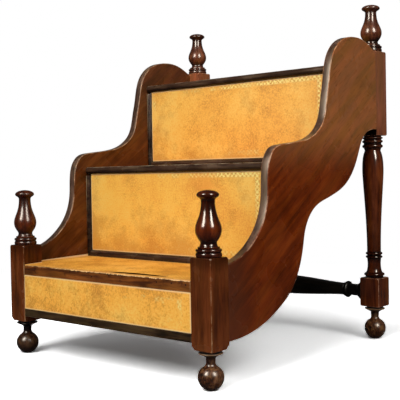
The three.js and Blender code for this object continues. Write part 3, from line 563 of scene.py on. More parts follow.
def edge_line(nodes):
    """The points of a waving edge through nodes of Y, Z and slope."""
    points = []
    for (y0, z0, leave), (y1, z1, arrive) in zip(nodes, nodes[1:]):
        handle = 0.36 * math.hypot(y1 - y0, z1 - z0)
        a, b = math.radians(leave), math.radians(arrive)
        points += interpolate_bezier(
            (0, y0, z0), (0, y0 + handle * math.cos(a), z0 + handle * math.sin(a)),
            (0, y1 - handle * math.cos(b), z1 - handle * math.sin(b)), (0, y1, z1), 16)[:-1]
    return points + [Vector((0, nodes[-1][0], nodes[-1][1]))]


def add_moulding(shape, section, start, reach, axis):
    """Adds a strip of one section, carried by reach along X, Y or Z from its start, and gives its faces."""
    before = set(shape.faces)
    index = "XYZ".index(axis)
    outline = []
    for corner in section:
        place = list(corner)
        place.insert(index, start)
        outline.append(shape.verts.new(place))
    pushed = bmesh.ops.extrude_face_region(shape, geom=[shape.faces.new(outline)], use_keep_orig=True)
    away = [0, 0, 0]
    away[index] = reach
    moved = [v for v in pushed["geom"] if isinstance(v, bmesh.types.BMVert)]
    bmesh.ops.translate(shape, vec=away, verts=moved)
    return [face for face in shape.faces if face not in before]


rail_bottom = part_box("front_rail")[0].z
leg_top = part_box("rear_leg_left")[1].z
top_line = edge_line([
    (post_back, post_top - panel_below_post_top, 9), *placed(top_edge_nodes),
    (share_of(goings[2], 0.5), tread_tops[2] + lobe_above_tread, 0),
    (leg_front, leg_top - panel_below_leg_top, -31)])
lower_line = edge_line([
    (post_back, rail_bottom, 0), *placed(lower_edge_nodes),
    (leg_front, leg_top - upper_block_height + panel_above_block, 0)])

grain_slope = (math.radians(55), 0, 0)
# The right panel's wood is a lit copy and the left panel's a shaded copy of one mahogany, as painted light
# and painted shade, and both are painted lighter towards the top as painted light.
outer_wood = wood_finish("flamed_mahogany_painted_lit", "581f04", "6e2905", "80360a", "ecc49c",
                         turn=grain_slope, shift=(0.2, 0.05, 0.6), ribbon=13 * mm,
                         gloss=0.26, specular=0.12, wear_reach=0.68, painted_lift_by_height=(0.38, 0.5, "6e5030"))
shaded_wood = wood_finish("flamed_mahogany_shaded", "432009", "572c0f", "683a17", "d0a880",
                          turn=grain_slope, shift=(0.6, 0.25, 0.1), ribbon=13 * mm,
                          gloss=0.26, specular=0.12, wear_reach=0.66, painted_lift_by_height=(0.45, 0.65, "30221a"))
# Painted shade: each panel face darkens towards the post, over the first 110 mm behind it.
for face_wood, darkened in ((outer_wood, "4e2817"), (shaded_wood, "2e1808")):
    tree, place, colour = layers_of(face_wood)
    painted_shade_by_post = add_node(tree, "ShaderNodeMapRange", {"interpolation_type": "SMOOTHSTEP"}, {
        "Value": place.outputs["Y"], "From Min": post_back, "From Max": post_back + painted_shade_depth,
        "To Min": 0.75, "To Max": 0})
    hand_dirt_and_shade = add_node(tree, "ShaderNodeMix", {"data_type": "RGBA"}, {
        0: painted_shade_by_post.outputs[0], 6: colour.links[0].from_socket, 7: srgb(darkened)})
    tree.links.new(hand_dirt_and_shade.outputs[2], colour)
edge_wood = wood_finish("waxed_mahogany_sawn_edges", "3c261a", "5c4032", "785a46", "d0b090",
                        shift=(0.4, 0.3, 0.2), ribbon=9 * mm, gloss=0.33, specular=0.38,
                        depth=0.08, wear_reach=0.76)
edge_wood.node_tree.nodes["Principled BSDF"].inputs["Specular Tint"].default_value = srgb("fff4ea")
for hand, side, face_wood, rubbed in (("left", -1, shaded_wood, 0.88), ("right", 1, outer_wood, 0.85)):
    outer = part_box(f"side_panel_{hand}")[0 if side < 0 else 1].x
    panel = bmesh.new()
    outline = [(p.y, p.z) for p in lower_line + top_line[::-1]]
    add_moulding(panel, outline, outer, -side * panel_thickness, "X")
    bmesh.ops.recalc_face_normals(panel, faces=panel.faces)
    rims = [e for e in panel.edges if abs(e.verts[0].co.x - e.verts[1].co.x) < same_place
            and abs(e.verts[0].co.y - e.verts[1].co.y) > same_place]
    rounded = bmesh.ops.bevel(panel, geom=rims, affect="EDGES", offset=edge_bevel, segments=3,
                              profile=0.5, material=-1)
    part_from({face for face in panel.faces if abs(face.normal.x) > 0.99})
    sawn_edge = [face for face in panel.faces if abs(face.normal.x) < 0.05]
    for face in sawn_edge:
        face.material_index = 1
    # Painted shade: the half of the sawn edge at lower X is darkened, as across a rounded edge.
    middle_of_board = outer - side * panel_thickness / 2
    mark(panel, "painted_shade_and_wax", sawn_edge, lambda corner: 0.5 if corner.x < middle_of_board else 0)
    mark(panel, "wear_and_highlight", rounded["faces"], rubbed)
    finish_piece(f"panel_{hand}", panel, [face_wood, edge_wood], f"side_panel_{hand}")

# Boards of the treads and risers, and the glue blocks behind them: plain secondary pine, never polished.
# They show only from behind and below, where the saw marks and the dust of a library stay on them.
board_wood = wood_finish("stained_pine_boards", "33231a", "4a3424", "64482e", "8a6c50",
                         turn=(0, -math.pi / 2, 0), ribbon=22 * mm, gloss=0.62)
for name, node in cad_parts.items():
    if name.endswith("_board") or name.startswith("glue_block"):
        for place in node.material_slots:
            place.material = board_wood

# Rails and strips: the front rail under the lowest riser, the back rail between the rear legs, and the
# strip behind the top tread. All are straight mahogany with stub tenons; the front rail is painted nearly
# black for the shade it stands in.
rail_wood = wood_finish("front_rail_mahogany_painted_shade", "1a0f05", "362412", "4c3820", "8a6c4c",
                        turn=(0, -math.pi / 2, 0), shift=(0.2, 0.2, 0.9), ribbon=8 * mm, gloss=0.34)
back_wood = wood_finish("french_polished_mahogany_back", "361206", "4e1e0c", "662c14", "a87a54",
                        turn=(0, -math.pi / 2, 0), shift=(0.9, 0.1, 0.3), ribbon=12 * mm, gloss=0.34)
between_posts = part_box("tread_one_lipping")[1].x
back_edge_depth = 10 * mm
rail_arris_radius = 1 * mm
for name, finish, slot in (("front_rail", rail_wood, "mahogany_dark"), ("back_rail", back_wood, "mahogany"),
                           ("tread_three_back_edge", back_wood, "mahogany")):
    low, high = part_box(name)
    rail = bmesh.new()
    front = high.y - back_edge_depth if name == "tread_three_back_edge" else low.y
    add_block(rail, (-between_posts, front, low.z), (between_posts, high.y, high.z), radius=rail_arris_radius)
    finish_piece(f"{name}_strip", rail, [finish], name)

# Leathers of the risers: tan hide dyed golden, pared thin at its edges and pasted flat on the boards.
# A gilt border was tooled round each with a hot wheel. Handling has darkened the hide in patches and
# rubbed away most of the gilt, which lasts best in the sheltered corners.
hide_edge_radius = 0.6 * mm
tooling_pitch = 11 * mm    # drawn coarse: the real rosettes are half as far apart
border_half_width = 5 * mm
nosing_undercut = 3 * mm
scuffed_height = 110 * mm    # as far up a riser as toes reach


def past_edge(tree, place, axes, low, high):
    """How far a place lies outside a rectangle in two axes, or, below zero, inside it."""
    sides = []
    for axis, start, end in zip(axes, low, high):
        offset = add_node(tree, "ShaderNodeMath", {"operation": "SUBTRACT"}, {
            0: place.outputs[axis], 1: (start + end) / 2})
        distance = add_node(tree, "ShaderNodeMath", {"operation": "ABSOLUTE"}, {0: offset.outputs[0]})
        sides.append(add_node(tree, "ShaderNodeMath", {"operation": "SUBTRACT"}, {
            0: distance.outputs[0], 1: (end - start) / 2}))
    return add_node(tree, "ShaderNodeMath", {"operation": "MAXIMUM"}, {
        0: sides[0].outputs[0], 1: sides[1].outputs[0]})


def gilt_border(tree, place, moved, speckle, hide, low, high, line, rubbed):
    """A band of tooled gilt rosettes on a hide, along the rectangle that line gives in X and Z. It gives
    the eye a broken lace of pale gold, bright to the right and under the nosing, where no hand rubs it."""
    gilt_patch = 30 * mm
    frayed_edge = 6 * mm
    beyond = past_edge(tree, place, "XZ", *line)
    off_line = add_node(tree, "ShaderNodeMath", {"operation": "ABSOLUTE"}, {0: beyond.outputs[0]})
    uneven = add_node(tree, "ShaderNodeMath", {"operation": "MULTIPLY_ADD"}, {
        0: speckle.outputs["Fac"], 1: frayed_edge, 2: off_line.outputs[0]})
    band = add_node(tree, "ShaderNodeMapRange", inputs={
        "Value": uneven.outputs[0], "From Min": border_half_width + 2 * mm,
        "From Max": border_half_width + 5 * mm, "To Min": 1, "To Max": 0})
    waves = []
    for axis in "XZ":
        phase = add_node(tree, "ShaderNodeMath", {"operation": "MULTIPLY"}, {
            0: place.outputs[axis], 1: math.tau / tooling_pitch})
        waves.append(add_node(tree, "ShaderNodeMath", {"operation": "SINE"}, {0: phase.outputs[0]}))
    tooling = add_node(tree, "ShaderNodeMath", {"operation": "MULTIPLY"}, {
        0: waves[0].outputs[0], 1: waves[1].outputs[0]})
    flecks = add_node(tree, "ShaderNodeMapRange", {"clamp": False}, {
        "Value": speckle.outputs["Fac"], "From Min": 0.5, "From Max": 1, "To Max": 3.5})
    rosettes = add_node(tree, "ShaderNodeMath", {"operation": "ADD"}, {
        0: tooling.outputs[0], 1: flecks.outputs[0]})
    tool_marks = add_node(tree, "ShaderNodeMapRange", inputs={
        "Value": rosettes.outputs[0], "From Min": -0.4, "From Max": 0.5})
    gilt_left = add_node(tree, "ShaderNodeTexNoise", inputs={
        "Vector": moved.outputs["Vector"], "Scale": 1 / gilt_patch, "Detail": 5, "Roughness": 0.7})
    to_right = add_node(tree, "ShaderNodeMapRange", inputs={
        "Value": place.outputs["X"], "From Min": -0.1, "From Max": 0.2, "To Min": -0.14, "To Max": 0.16})
    under_nosing = add_node(tree, "ShaderNodeMapRange", inputs={
        "Value": place.outputs["Z"], "From Min": low.z, "From Max": high.z, "To Min": -0.12, "To Max": 0.04})
    sheltered = add_node(tree, "ShaderNodeMath", {"operation": "ADD"}, {
        0: to_right.outputs[0], 1: under_nosing.outputs[0]})
    kept = add_node(tree, "ShaderNodeMath", {"operation": "ADD"}, {
        0: gilt_left.outputs["Fac"], 1: sheltered.outputs[0]})
    lasting = add_node(tree, "ShaderNodeMapRange", inputs={
        "Value": kept.outputs[0], "From Min": rubbed, "From Max": rubbed + 0.2})
    tooled = add_node(tree, "ShaderNodeMath", {"operation": "MULTIPLY"}, {
        0: band.outputs[0], 1: lasting.outputs[0]})
    hollows = add_node(tree, "ShaderNodeMapRange", inputs={
        "Value": rosettes.outputs[0], "From Min": -0.3, "From Max": -0.9, "To Max": 0.45})
    pressed = add_node(tree, "ShaderNodeMix", {"data_type": "RGBA"}, {
        0: hollows.outputs[0], 6: hide, 7: srgb("b8842c")})
    gold = add_node(tree, "ShaderNodeMix", {"data_type": "RGBA"}, {
        0: tool_marks.outputs[0], 6: pressed.outputs[2], 7: srgb("ffe98c")})
    gilded = add_node(tree, "ShaderNodeMix", {"data_type": "RGBA"}, {
        0: tooled.outputs[0], 6: hide, 7: gold.outputs[2]})
    return gilded.outputs[2]


def golden_hide(name, low, high, shift, stain_reach, stain, tans, border=None, scuffed=0, flat=False):
    """Golden tan hide, which lies flat on a tread or stands on a riser, where toes scuff its lower left.
    It gives the eye a warm even colour under brown speckle, golden brown stains and faint cockles, a
    pale pared edge, and a worn gilt border."""
    cloud = 110 * mm
    stain_size = 60 * mm
    soiled_margin = 45 * mm
    pared_width = 3.2 * mm
    speck = 3.6 * mm
    pebble = 2.4 * mm
    pebble_depth = 0.15 * mm
    cockle_depth = 2 * mm
    material = bpy.data.materials.new(name)
    material.use_nodes = True
    tree = material.node_tree
    shader = tree.nodes["Principled BSDF"]
    spot = add_node(tree, "ShaderNodeTexCoord")
    place = add_node(tree, "ShaderNodeSeparateXYZ", inputs={0: spot.outputs["Object"]})
    moved = add_node(tree, "ShaderNodeMapping", inputs={"Vector": spot.outputs["Object"], "Location": shift})
    clouds = add_node(tree, "ShaderNodeTexNoise", inputs={
        "Vector": moved.outputs["Vector"], "Scale": 1 / cloud, "Detail": 4, "Roughness": 0.6})
    speckle = add_node(tree, "ShaderNodeTexNoise", inputs={
        "Vector": moved.outputs["Vector"], "Scale": 1 / speck, "Detail": 2, "Roughness": 0.6})
    mottle = add_node(tree, "ShaderNodeMath", {"operation": "MULTIPLY_ADD"}, {
        0: speckle.outputs["Fac"], 1: -0.8, 2: clouds.outputs["Fac"]})
    tanned = add_node(tree, "ShaderNodeMapRange", inputs={
        "Value": mottle.outputs[0], "From Min": -0.1, "From Max": 0.3})
    hide = add_node(tree, "ShaderNodeValToRGB", inputs={0: tanned.outputs[0]}, stops=[
        (0, srgb(tans[0])), (1, srgb(tans[2])), (0.5, srgb(tans[1]))])
    stain_places = add_node(tree, "ShaderNodeTexNoise", inputs={
        "Vector": moved.outputs["Vector"], "Scale": 1 / stain_size, "Detail": 4, "Roughness": 0.65})
    stain_sum = add_node(tree, "ShaderNodeMath", {"operation": "MULTIPLY_ADD"}, {
        0: speckle.outputs["Fac"], 1: 0.32, 2: stain_places.outputs["Fac"]})
    lying = ("XY", low.xy, high.xy)
    standing = ("XZ", low.xz, high.xz)
    outside = past_edge(tree, place, *(lying if flat else standing))
    soiled = add_node(tree, "ShaderNodeMapRange", inputs={
        "Value": outside.outputs[0], "From Min": -3 * mm, "From Max": -soiled_margin,
        "To Min": 0.07, "To Max": 0})
    below_toes = add_node(tree, "ShaderNodeMapRange", inputs={
        "Value": place.outputs["Z"], "From Min": low.z, "From Max": low.z + scuffed_height,
        "To Min": scuffed, "To Max": 0})
    to_left = add_node(tree, "ShaderNodeMapRange", inputs={
        "Value": place.outputs["X"], "From Min": low.x, "From Max": high.x, "To Min": 1, "To Max": 0})
    scuffs = add_node(tree, "ShaderNodeMath", {"operation": "MULTIPLY_ADD"}, {
        0: below_toes.outputs[0], 1: to_left.outputs[0], 2: soiled.outputs[0]})
    dirt = add_node(tree, "ShaderNodeMath", {"operation": "ADD"}, {
        0: stain_sum.outputs[0], 1: scuffs.outputs[0]})
    stains = add_node(tree, "ShaderNodeMapRange", inputs={
        "Value": dirt.outputs[0], "From Min": stain_reach, "From Max": stain_reach + 0.22, "To Max": 0.5})
    stained = add_node(tree, "ShaderNodeMix", {"data_type": "RGBA"}, {
        0: stains.outputs[0], 6: hide.outputs["Color"], 7: srgb(stain)})
    tone = stained.outputs[2]
    if border:
        tone = gilt_border(tree, place, moved, speckle, tone, low, high, *border)
    pared = add_node(tree, "ShaderNodeMapRange", inputs={
        "Value": outside.outputs[0], "From Min": -pared_width / 2, "From Max": -pared_width,
        "To Min": 0.2 if flat else 0.8, "To Max": 0})
    edged = add_node(tree, "ShaderNodeMix", {"data_type": "RGBA"}, {
        0: pared.outputs[0], 6: tone, 7: srgb("fbcf92")})
    torn = add_node(tree, "ShaderNodeAttribute", {"attribute_name": "wear_and_highlight"})
    frayed = add_node(tree, "ShaderNodeMix", {"data_type": "RGBA"}, {
        0: torn.outputs["Fac"], 6: edged.outputs[2], 7: srgb("d8c49c")})
    pebbles = add_node(tree, "ShaderNodeTexVoronoi", {"feature": "DISTANCE_TO_EDGE"}, {
        "Vector": moved.outputs["Vector"], "Scale": 1 / pebble})
    grain = add_node(tree, "ShaderNodeMapRange", inputs={
        "Value": pebbles.outputs["Distance"], "From Max": 0.12})
    surface = add_node(tree, "ShaderNodeBump", inputs={
        "Strength": 0.25, "Distance": pebble_depth, "Height": grain.outputs[0]})
    cockled = add_node(tree, "ShaderNodeBump", inputs={
        "Strength": 0.2, "Distance": cockle_depth, "Height": clouds.outputs["Fac"],
        "Normal": surface.outputs["Normal"]})
    rough = add_node(tree, "ShaderNodeMapRange", inputs={
        "Value": stains.outputs[0], "To Min": 0.5, "To Max": 0.66})
    tree.links.new(frayed.outputs[2], shader.inputs["Base Color"])
    tree.links.new(rough.outputs[0], shader.inputs["Roughness"])
    tree.links.new(cockled.outputs["Normal"], shader.inputs["Normal"])
    shader.inputs["Specular IOR Level"].default_value = 0.1 if flat else 0.25
    return material


# Each riser's hide: where its pattern starts, from how much dirt it is stained and in which colour, its
# three tans, its border from left and bottom to right and top with how much of it is rubbed away, and
# how hard toes have scuffed it.
for count, shift, stain_reach, stain, tans, border, scuffed in (
        ("one", (0.55, 0.3, 0.85), 0.65, "b06c18", ("e69a34", "feb440", "ffc85a"),
         (((-0.225, 0.124), (0.222, 0.161)), 0.6), 0),
        ("two", (0.3, 0.3, 0.6), 0.68, "c07008", ("f2a43a", "ffc24c", "ffce60"),
         (((-0.261, 0.232), (0.2395, 0.397)), 0.43), 0.26),
        ("three", (0.62, 0.3, 0.85), 0.68, "c07008", ("e89e38", "fcba48", "feca5e"),
         (((-0.261, 0.449), (0.2515, 0.61)), 0.38), 0.1)):
    name = f"riser_{count}_leather"
    low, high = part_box(name)
    if count != "one":
        high.z += nosing_undercut
    hide = golden_hide(f"tooled_golden_hide_{count}", low, high, shift, stain_reach, stain, tans,
                       border, scuffed)
    skin = bmesh.new()
    add_block(skin, low, high, radius=hide_edge_radius, worn=0)
    finish_piece(f"{name}_skin", skin, [hide], name)

# Leathers of the treads: the same hide, trodden and darker, cut round the posts and laid on the boards.
# The lowest one is torn along its front and turned up a little against posts and panels. Behind the tear
# it has split, and the lip of the split stands up with a painted shadow in the gap under it.
turned_up = 1.4 * mm
flap_low, flap_high = 1.2 * mm, 4.5 * mm
torn_depth = 3 * mm
tear_width = 9 * mm
tear_step = 4 * mm
split_start, split_end = 0.015, 0.185
split_near, split_far = 4 * mm, 11 * mm
lip_height = 2.6 * mm
lip_depth = 12 * mm
lip_root = 0.3 * mm    # how far the lip reaches down into the leather
lip_steps = 40


def paint_split_shadow(hide, low):
    """Paints the shadow of the open gap on a hide, along the line of the split and fading towards its ends.
    """
    tree, place, colour = layers_of(hide)
    split_line = add_node(tree, "ShaderNodeMapRange", inputs={
        "Value": place.outputs["X"], "From Min": split_start, "From Max": split_end,
        "To Min": low.y + split_near, "To Max": low.y + split_far})
    off_line = add_node(tree, "ShaderNodeMath", {"operation": "SUBTRACT"}, {
        0: place.outputs["Y"], 1: split_line.outputs[0]})
    near = add_node(tree, "ShaderNodeMath", {"operation": "ABSOLUTE"}, {0: off_line.outputs[0]})
    gap = add_node(tree, "ShaderNodeMapRange", inputs={
        "Value": near.outputs[0], "From Min": 2 * mm, "From Max": 0.8 * mm})
    off_middle = add_node(tree, "ShaderNodeMath", {"operation": "SUBTRACT"}, {
        0: place.outputs["X"], 1: (split_start + split_end) / 2})
    from_middle = add_node(tree, "ShaderNodeMath", {"operation": "ABSOLUTE"}, {0: off_middle.outputs[0]})
    half_split = (split_end - split_start) / 2
    gaping = add_node(tree, "ShaderNodeMapRange", inputs={
        "Value": from_middle.outputs[0], "From Min": half_split + 3 * mm, "From Max": half_split - 25 * mm})
    shadow = add_node(tree, "ShaderNodeMath", {"operation": "MULTIPLY"}, {
        0: gap.outputs[0], 1: gaping.outputs[0]})
    split_shadow_colour = add_node(tree, "ShaderNodeMix", {"data_type": "RGBA"}, {
        0: shadow.outputs[0], 6: colour.links[0].from_socket, 7: srgb("301606")})
    tree.links.new(split_shadow_colour.outputs[2], colour)


def add_torn_hide(skin, low, high):
    """Adds the hide of the lowest tread, cut round the posts and torn in front, and its turned-up flaps."""
    places = [tear_step * i - between_posts for i in range(int(2 * between_posts / tear_step) + 1)]
    plan = [(x, low.y + torn_depth * abs(noise.noise(Vector((x / tear_width, 0, 0))))) for x in places]
    plan += [(between_posts, low.y), (between_posts, post_back), (high.x, post_back), (high.x, high.y)]
    plan += [(low.x, high.y), (low.x, post_back), (-between_posts, post_back)]
    add_moulding(skin, plan, low.z, high.z - low.z, "Z")
    against_panel = [(post_back, high.z), (high.y, high.z), (high.y, high.z + flap_high),
                     (post_back, high.z + flap_low)]
    against_post = [(low.y + turned_up, high.z), (post_back, high.z), (post_back, high.z + flap_low)]
    for side in (-1, 1):
        for section, wall in ((against_panel, side * high.x), (against_post, side * between_posts)):
            flap = add_moulding(skin, section, wall, -side * turned_up, "X")
            mark(skin, "wear_and_highlight", flap, 0.7)


def add_lip(skin, low, high):
    """Adds the lip of the split, a wedge that rises from nothing at its ends and is raw on its crest."""
    lip = add_moulding(skin, [(0, -lip_root), (0, lip_height), (lip_depth, -lip_root)],
                       split_start, split_end - split_start, "X")
    others = set(skin.faces) - set(lip)
    long_edges = [edge for edge in parts_of(skin.edges, set(lip))
                  if abs(edge.verts[0].co.x - edge.verts[1].co.x) > same_place]
    bmesh.ops.subdivide_edges(skin, edges=long_edges, cuts=lip_steps - 1)
    lip = [face for face in skin.faces if face not in others]
    corners = parts_of(skin.verts, set(lip))
    for corner in corners:
        share = (corner.co.x - split_start) / (split_end - split_start)
        swell = max(0, math.sin(math.pi * share)) ** 0.6
        corner.co.y = low.y + share_of((split_near, split_far), share) + corner.co.y * swell
        corner.co.z = high.z + corner.co.z * swell
    mark(skin, "wear_and_highlight", lip, lambda place: 0.6 if place.z > high.z else 0)
    bmesh.ops.remove_doubles(skin, verts=corners, dist=same_place)


for count, shift in (("one", (0.7, 0.45, 0.4)), ("two", (0.7, 0.45, 0.4)), ("three", (0.7, 0.75, 0.4))):
    name = f"tread_{count}_leather"
    low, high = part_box(name)
    hide = golden_hide(f"trodden_golden_hide_{count}", low, high, shift, 0.635, "a8682a",
                       ("bc7c2a", "de9c3a", "f0b456"), flat=True)
    skin = bmesh.new()
    if count == "one":
        paint_split_shadow(hide, low)
        add_torn_hide(skin, low, high)
        add_lip(skin, low, high)
    else:
        add_block(skin, low, high, radius=hide_edge_radius, worn=0)
    finish_piece(f"{name}_skin", skin, [hide], name)

# Lipping of the lowest tread: a mahogany strip nailed on the front edge, flush with the posts, knocked and
# rubbed. Dark stopping fills its nail holes, dents hold old wax, and torn fibres of the leather hang over
# its arris.
lipping_wood = wood_finish("worn_mahogany_lipping", "44200a", "784012", "985620", "c89864",
                           turn=(0, -math.pi / 2, 0), ribbon=9 * mm, gloss=0.36, wear_reach=0.66)
stopping = wood_finish("dark_nail_stopping", "0c0603", "1a0e06", "28180c", "4a3420", gloss=0.5)
low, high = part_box("tread_one_lipping")
lipping_depth = 12 * mm
knock = 16 * mm
fibre_bundle = 8 * mm
longest_fibre = 2.2 * mm
nail_radius = 1.7 * mm
nail_stands_out = 0.3 * mm
nail_places = [(-0.232, 0.1935), (-0.0238, 0.1925), (0.163, 0.1945), (0.202, 0.195), (0.238, 0.1945)]
tree, place, colour = layers_of(lipping_wood)
spot = add_node(tree, "ShaderNodeTexCoord")
knocks = add_node(tree, "ShaderNodeTexNoise", inputs={
    "Vector": spot.outputs["Object"], "Scale": 1 / knock, "Detail": 4, "Roughness": 0.7})
near_top = add_node(tree, "ShaderNodeMapRange", inputs={
    "Value": place.outputs["Z"], "From Min": low.z, "From Max": high.z, "To Min": -0.12, "To Max": 0.06})
knocked = add_node(tree, "ShaderNodeMath", {"operation": "ADD"}, {
    0: knocks.outputs["Fac"], 1: near_top.outputs[0]})
dents = add_node(tree, "ShaderNodeMapRange", inputs={
    "Value": knocked.outputs[0], "From Min": 0.54, "From Max": 0.64, "To Max": 0.7})
dented = add_node(tree, "ShaderNodeMix", {"data_type": "RGBA", "blend_type": "MULTIPLY"}, {
    0: dents.outputs[0], 6: colour.links[0].from_socket, 7: srgb("80604c")})
along = add_node(tree, "ShaderNodeMapping", inputs={"Vector": spot.outputs["Object"], "Scale": (1, 0, 0.3)})
fibres = add_node(tree, "ShaderNodeTexNoise", inputs={
    "Vector": along.outputs["Vector"], "Scale": 1 / fibre_bundle, "Detail": 4, "Roughness": 0.7})
torn_from = add_node(tree, "ShaderNodeMapRange", inputs={
    "Value": place.outputs["X"], "From Min": -0.2, "From Max": -0.06, "To Min": -0.15, "To Max": 0})
hang = add_node(tree, "ShaderNodeMath", {"operation": "ADD"}, {
    0: fibres.outputs["Fac"], 1: torn_from.outputs[0]})
reach = add_node(tree, "ShaderNodeMapRange", {"clamp": False}, {
    "Value": hang.outputs[0], "From Min": 0.42, "From Max": 0.62,
    "To Min": high.z - 0.3 * mm, "To Max": high.z - longest_fibre})
below = add_node(tree, "ShaderNodeMath", {"operation": "SUBTRACT"}, {
    0: place.outputs["Z"], 1: reach.outputs[0]})
fringe = add_node(tree, "ShaderNodeMapRange", inputs={"Value": below.outputs[0], "From Max": 0.4 * mm})
fringed = add_node(tree, "ShaderNodeMix", {"data_type": "RGBA"}, {
    0: fringe.outputs[0], 6: dented.outputs[2], 7: srgb("f0c080")})
tree.links.new(fringed.outputs[2], colour)
lipping = bmesh.new()
front = low.y + nail_stands_out
add_block(lipping, (low.x, front, low.z), (high.x, low.y + lipping_depth, high.z))
before = set(lipping.faces)
for x, z in nail_places:
    face_on = Matrix.Translation((x, front, z)) @ Matrix.Rotation(math.pi / 2, 4, "X")
    bmesh.ops.create_cone(lipping, cap_ends=True, segments=16, radius1=nail_radius, radius2=nail_radius,
                          depth=nail_stands_out, matrix=face_on)
for face in lipping.faces:
    if face not in before:
        face.material_index = 1
finish_piece("lipping_tread_one", lipping, [lipping_wood, stopping], "tread_one_lipping")

# Nosings and beads: half-round strips on the front edges of the upper treads, and rounded beads that frame
# the leather of the upper risers. All are mahogany stained black, glued and pinned, and greyed by feet.
# Each nosing is paler along its top, worn by feet and with a painted highlight, and painted shade darkens
# its lower part. Each bead has painted shade towards its back and its foot, and a painted highlight along
# its front edge by the panel in its upper half.
trim_wood = wood_finish("stained_mahogany_trim", "2a1810", "402a1e", "5a4432", "a89878",
                        turn=(0, -math.pi / 2, 0), shift=(0.4, 0.7, 0.1), ribbon=9 * mm,
                        gloss=0.24, specular=0.3, wear_reach=0.7)
nosing_depth = 12 * mm
bead_round = 7 * mm
for count in ("two", "three"):
    low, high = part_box(f"tread_{count}_nosing")
    low.z += nosing_undercut
    half_depth, half_height = nosing_depth / 2, (high.z - low.z) / 2
    section = [(low.y + nosing_depth, low.z), (low.y + nosing_depth, high.z)]
    for i in range(15):
        angle = math.pi * (0.5 + i / 14)
        section.append((low.y + half_depth + half_depth * math.cos(angle),
                        low.z + half_height + half_height * math.sin(angle)))
    nosing = bmesh.new()
    add_moulding(nosing, section, low.x, high.x - low.x, "X")
    bmesh.ops.recalc_face_normals(nosing, faces=nosing.faces)
    front_faces = [face for face in nosing.faces if face.normal.y < -0.1]
    # Paler along the top of the front, as wear and a painted highlight; darker towards the bottom, as painted
    # shade.
    mark(nosing, "wear_and_highlight", front_faces, lambda place: max(0, 1.2 - 6 * (high.z - place.z) / (high.z - low.z)))
    mark(nosing, "painted_shade_and_wax", nosing.faces,
         lambda place: min(1, max(0, 3 * (high.z - place.z) / (high.z - low.z) - 1.6)))
    finish_piece(f"nosing_tread_{count}", nosing, [trim_wood], f"tread_{count}_nosing")


def quarter(corner, along, up):
    """The points of a quarter circle from one end of an arris to the other."""
    steps = 8
    points = []
    for i in range(steps + 1):
        angle = math.pi / 2 * i / steps
        a, b = 1 - math.sin(angle), 1 - math.cos(angle)
        points.append((corner[0] + along[0] * a + up[0] * b, corner[1] + along[1] * a + up[1] * b))
    return points


for count in ("two", "three"):
    node = f"riser_{count}_bead_bottom"
    low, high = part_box(node)
    rounded = quarter((low.y, high.z), (0, -bead_round), (bead_round, 0))
    bottom_bead = bmesh.new()
    add_moulding(bottom_bead, [(high.y, low.z), (low.y, low.z), *rounded, (high.y, high.z)],
                 low.x, high.x - low.x, "X")
    finish_piece(f"bead_bottom_{count}", bottom_bead, [trim_wood], node)
    for hand, side in (("left", -1), ("right", 1)):
        node = f"riser_{count}_bead_{hand}"
        low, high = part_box(node)
        wall, free = (low.x, high.x) if side < 0 else (high.x, low.x)
        rounded = quarter((free, low.y), (side * bead_round, 0), (0, bead_round))
        side_bead = bmesh.new()
        add_moulding(side_bead, [(wall, high.y), (wall, low.y), *rounded, (free, high.y)],
                     low.z, high.z - low.z, "Z")
        dark = side_bead.loops.layers.float.new("painted_shade_and_wax")
        wear_and_highlight = side_bead.loops.layers.float.new("wear_and_highlight")
        # Painted shade darkens each bead towards its back and towards its foot, and a painted highlight runs
        # down its front edge by the panel in its upper half.
        for face in side_bead.faces:
            for loop in face.loops:
                back = (loop.vert.co.y - low.y) / bead_round
                down = (high.z - loop.vert.co.z) / (high.z - low.z)
                at_wall = abs(loop.vert.co.x - wall) < 0.1 * mm
                loop[dark] = min(1, back + 0.8 * down)
                loop[wear_and_highlight] = 3 if at_wall and back < 0.1 and down < 0.5 else 0
        finish_piece(f"bead_{hand}_{count}", side_bead, [trim_wood], node)

# Rear stretcher: turned with a long swelling between two rings, its tenons socketed in the lower blocks.
# It is painted nearly black for the shade it stands in, and its rings are darker at their feet as painted
# shade.
stretcher_wood = wood_finish("mahogany_stretcher_painted_shade", "080503", "0e0906", "1a120c", "5a4838",
                             turn=(0, -math.pi / 2, 0), ribbon=8 * mm, gloss=0.34)
low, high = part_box("rear_stretcher")
belly_radius = 24.5 * mm
waist_radius = 14.5 * mm
bead_radius = 17 * mm
ring_radius = 20 * mm
neck_radius = 14 * mm
end_radius = 22 * mm
collar = between_posts - 8 * mm
neck_end = collar - 14 * mm
ring_end = neck_end - 20 * mm
ring_start = ring_end - 10 * mm
bead_start = ring_start - 4 * mm
half = [
    *sweep((belly_radius, 0), (waist_radius, bead_start), 0.45, 0.2, 24),
    *ring(bead_start, ring_start, waist_radius, bead_radius),
    *ring(ring_start, ring_end, waist_radius, ring_radius),
    point(neck_radius, ring_end, 0, 0.8),
    *sweep((neck_radius, neck_end), (end_radius, collar), 0.5, 0.2, 10),
    point(end_radius, between_posts), point(0, between_posts),
]
stretcher = bmesh.new()
other_half = [(r, -h, w, d) for r, h, w, d in reversed(half[1:])]
add_turning(stretcher, other_half + half, (0, (low.y + high.y) / 2, (low.z + high.z) / 2), (1, 0, 0))
finish_piece("stretcher_rear", stretcher, [stretcher_wood], "rear_stretcher")

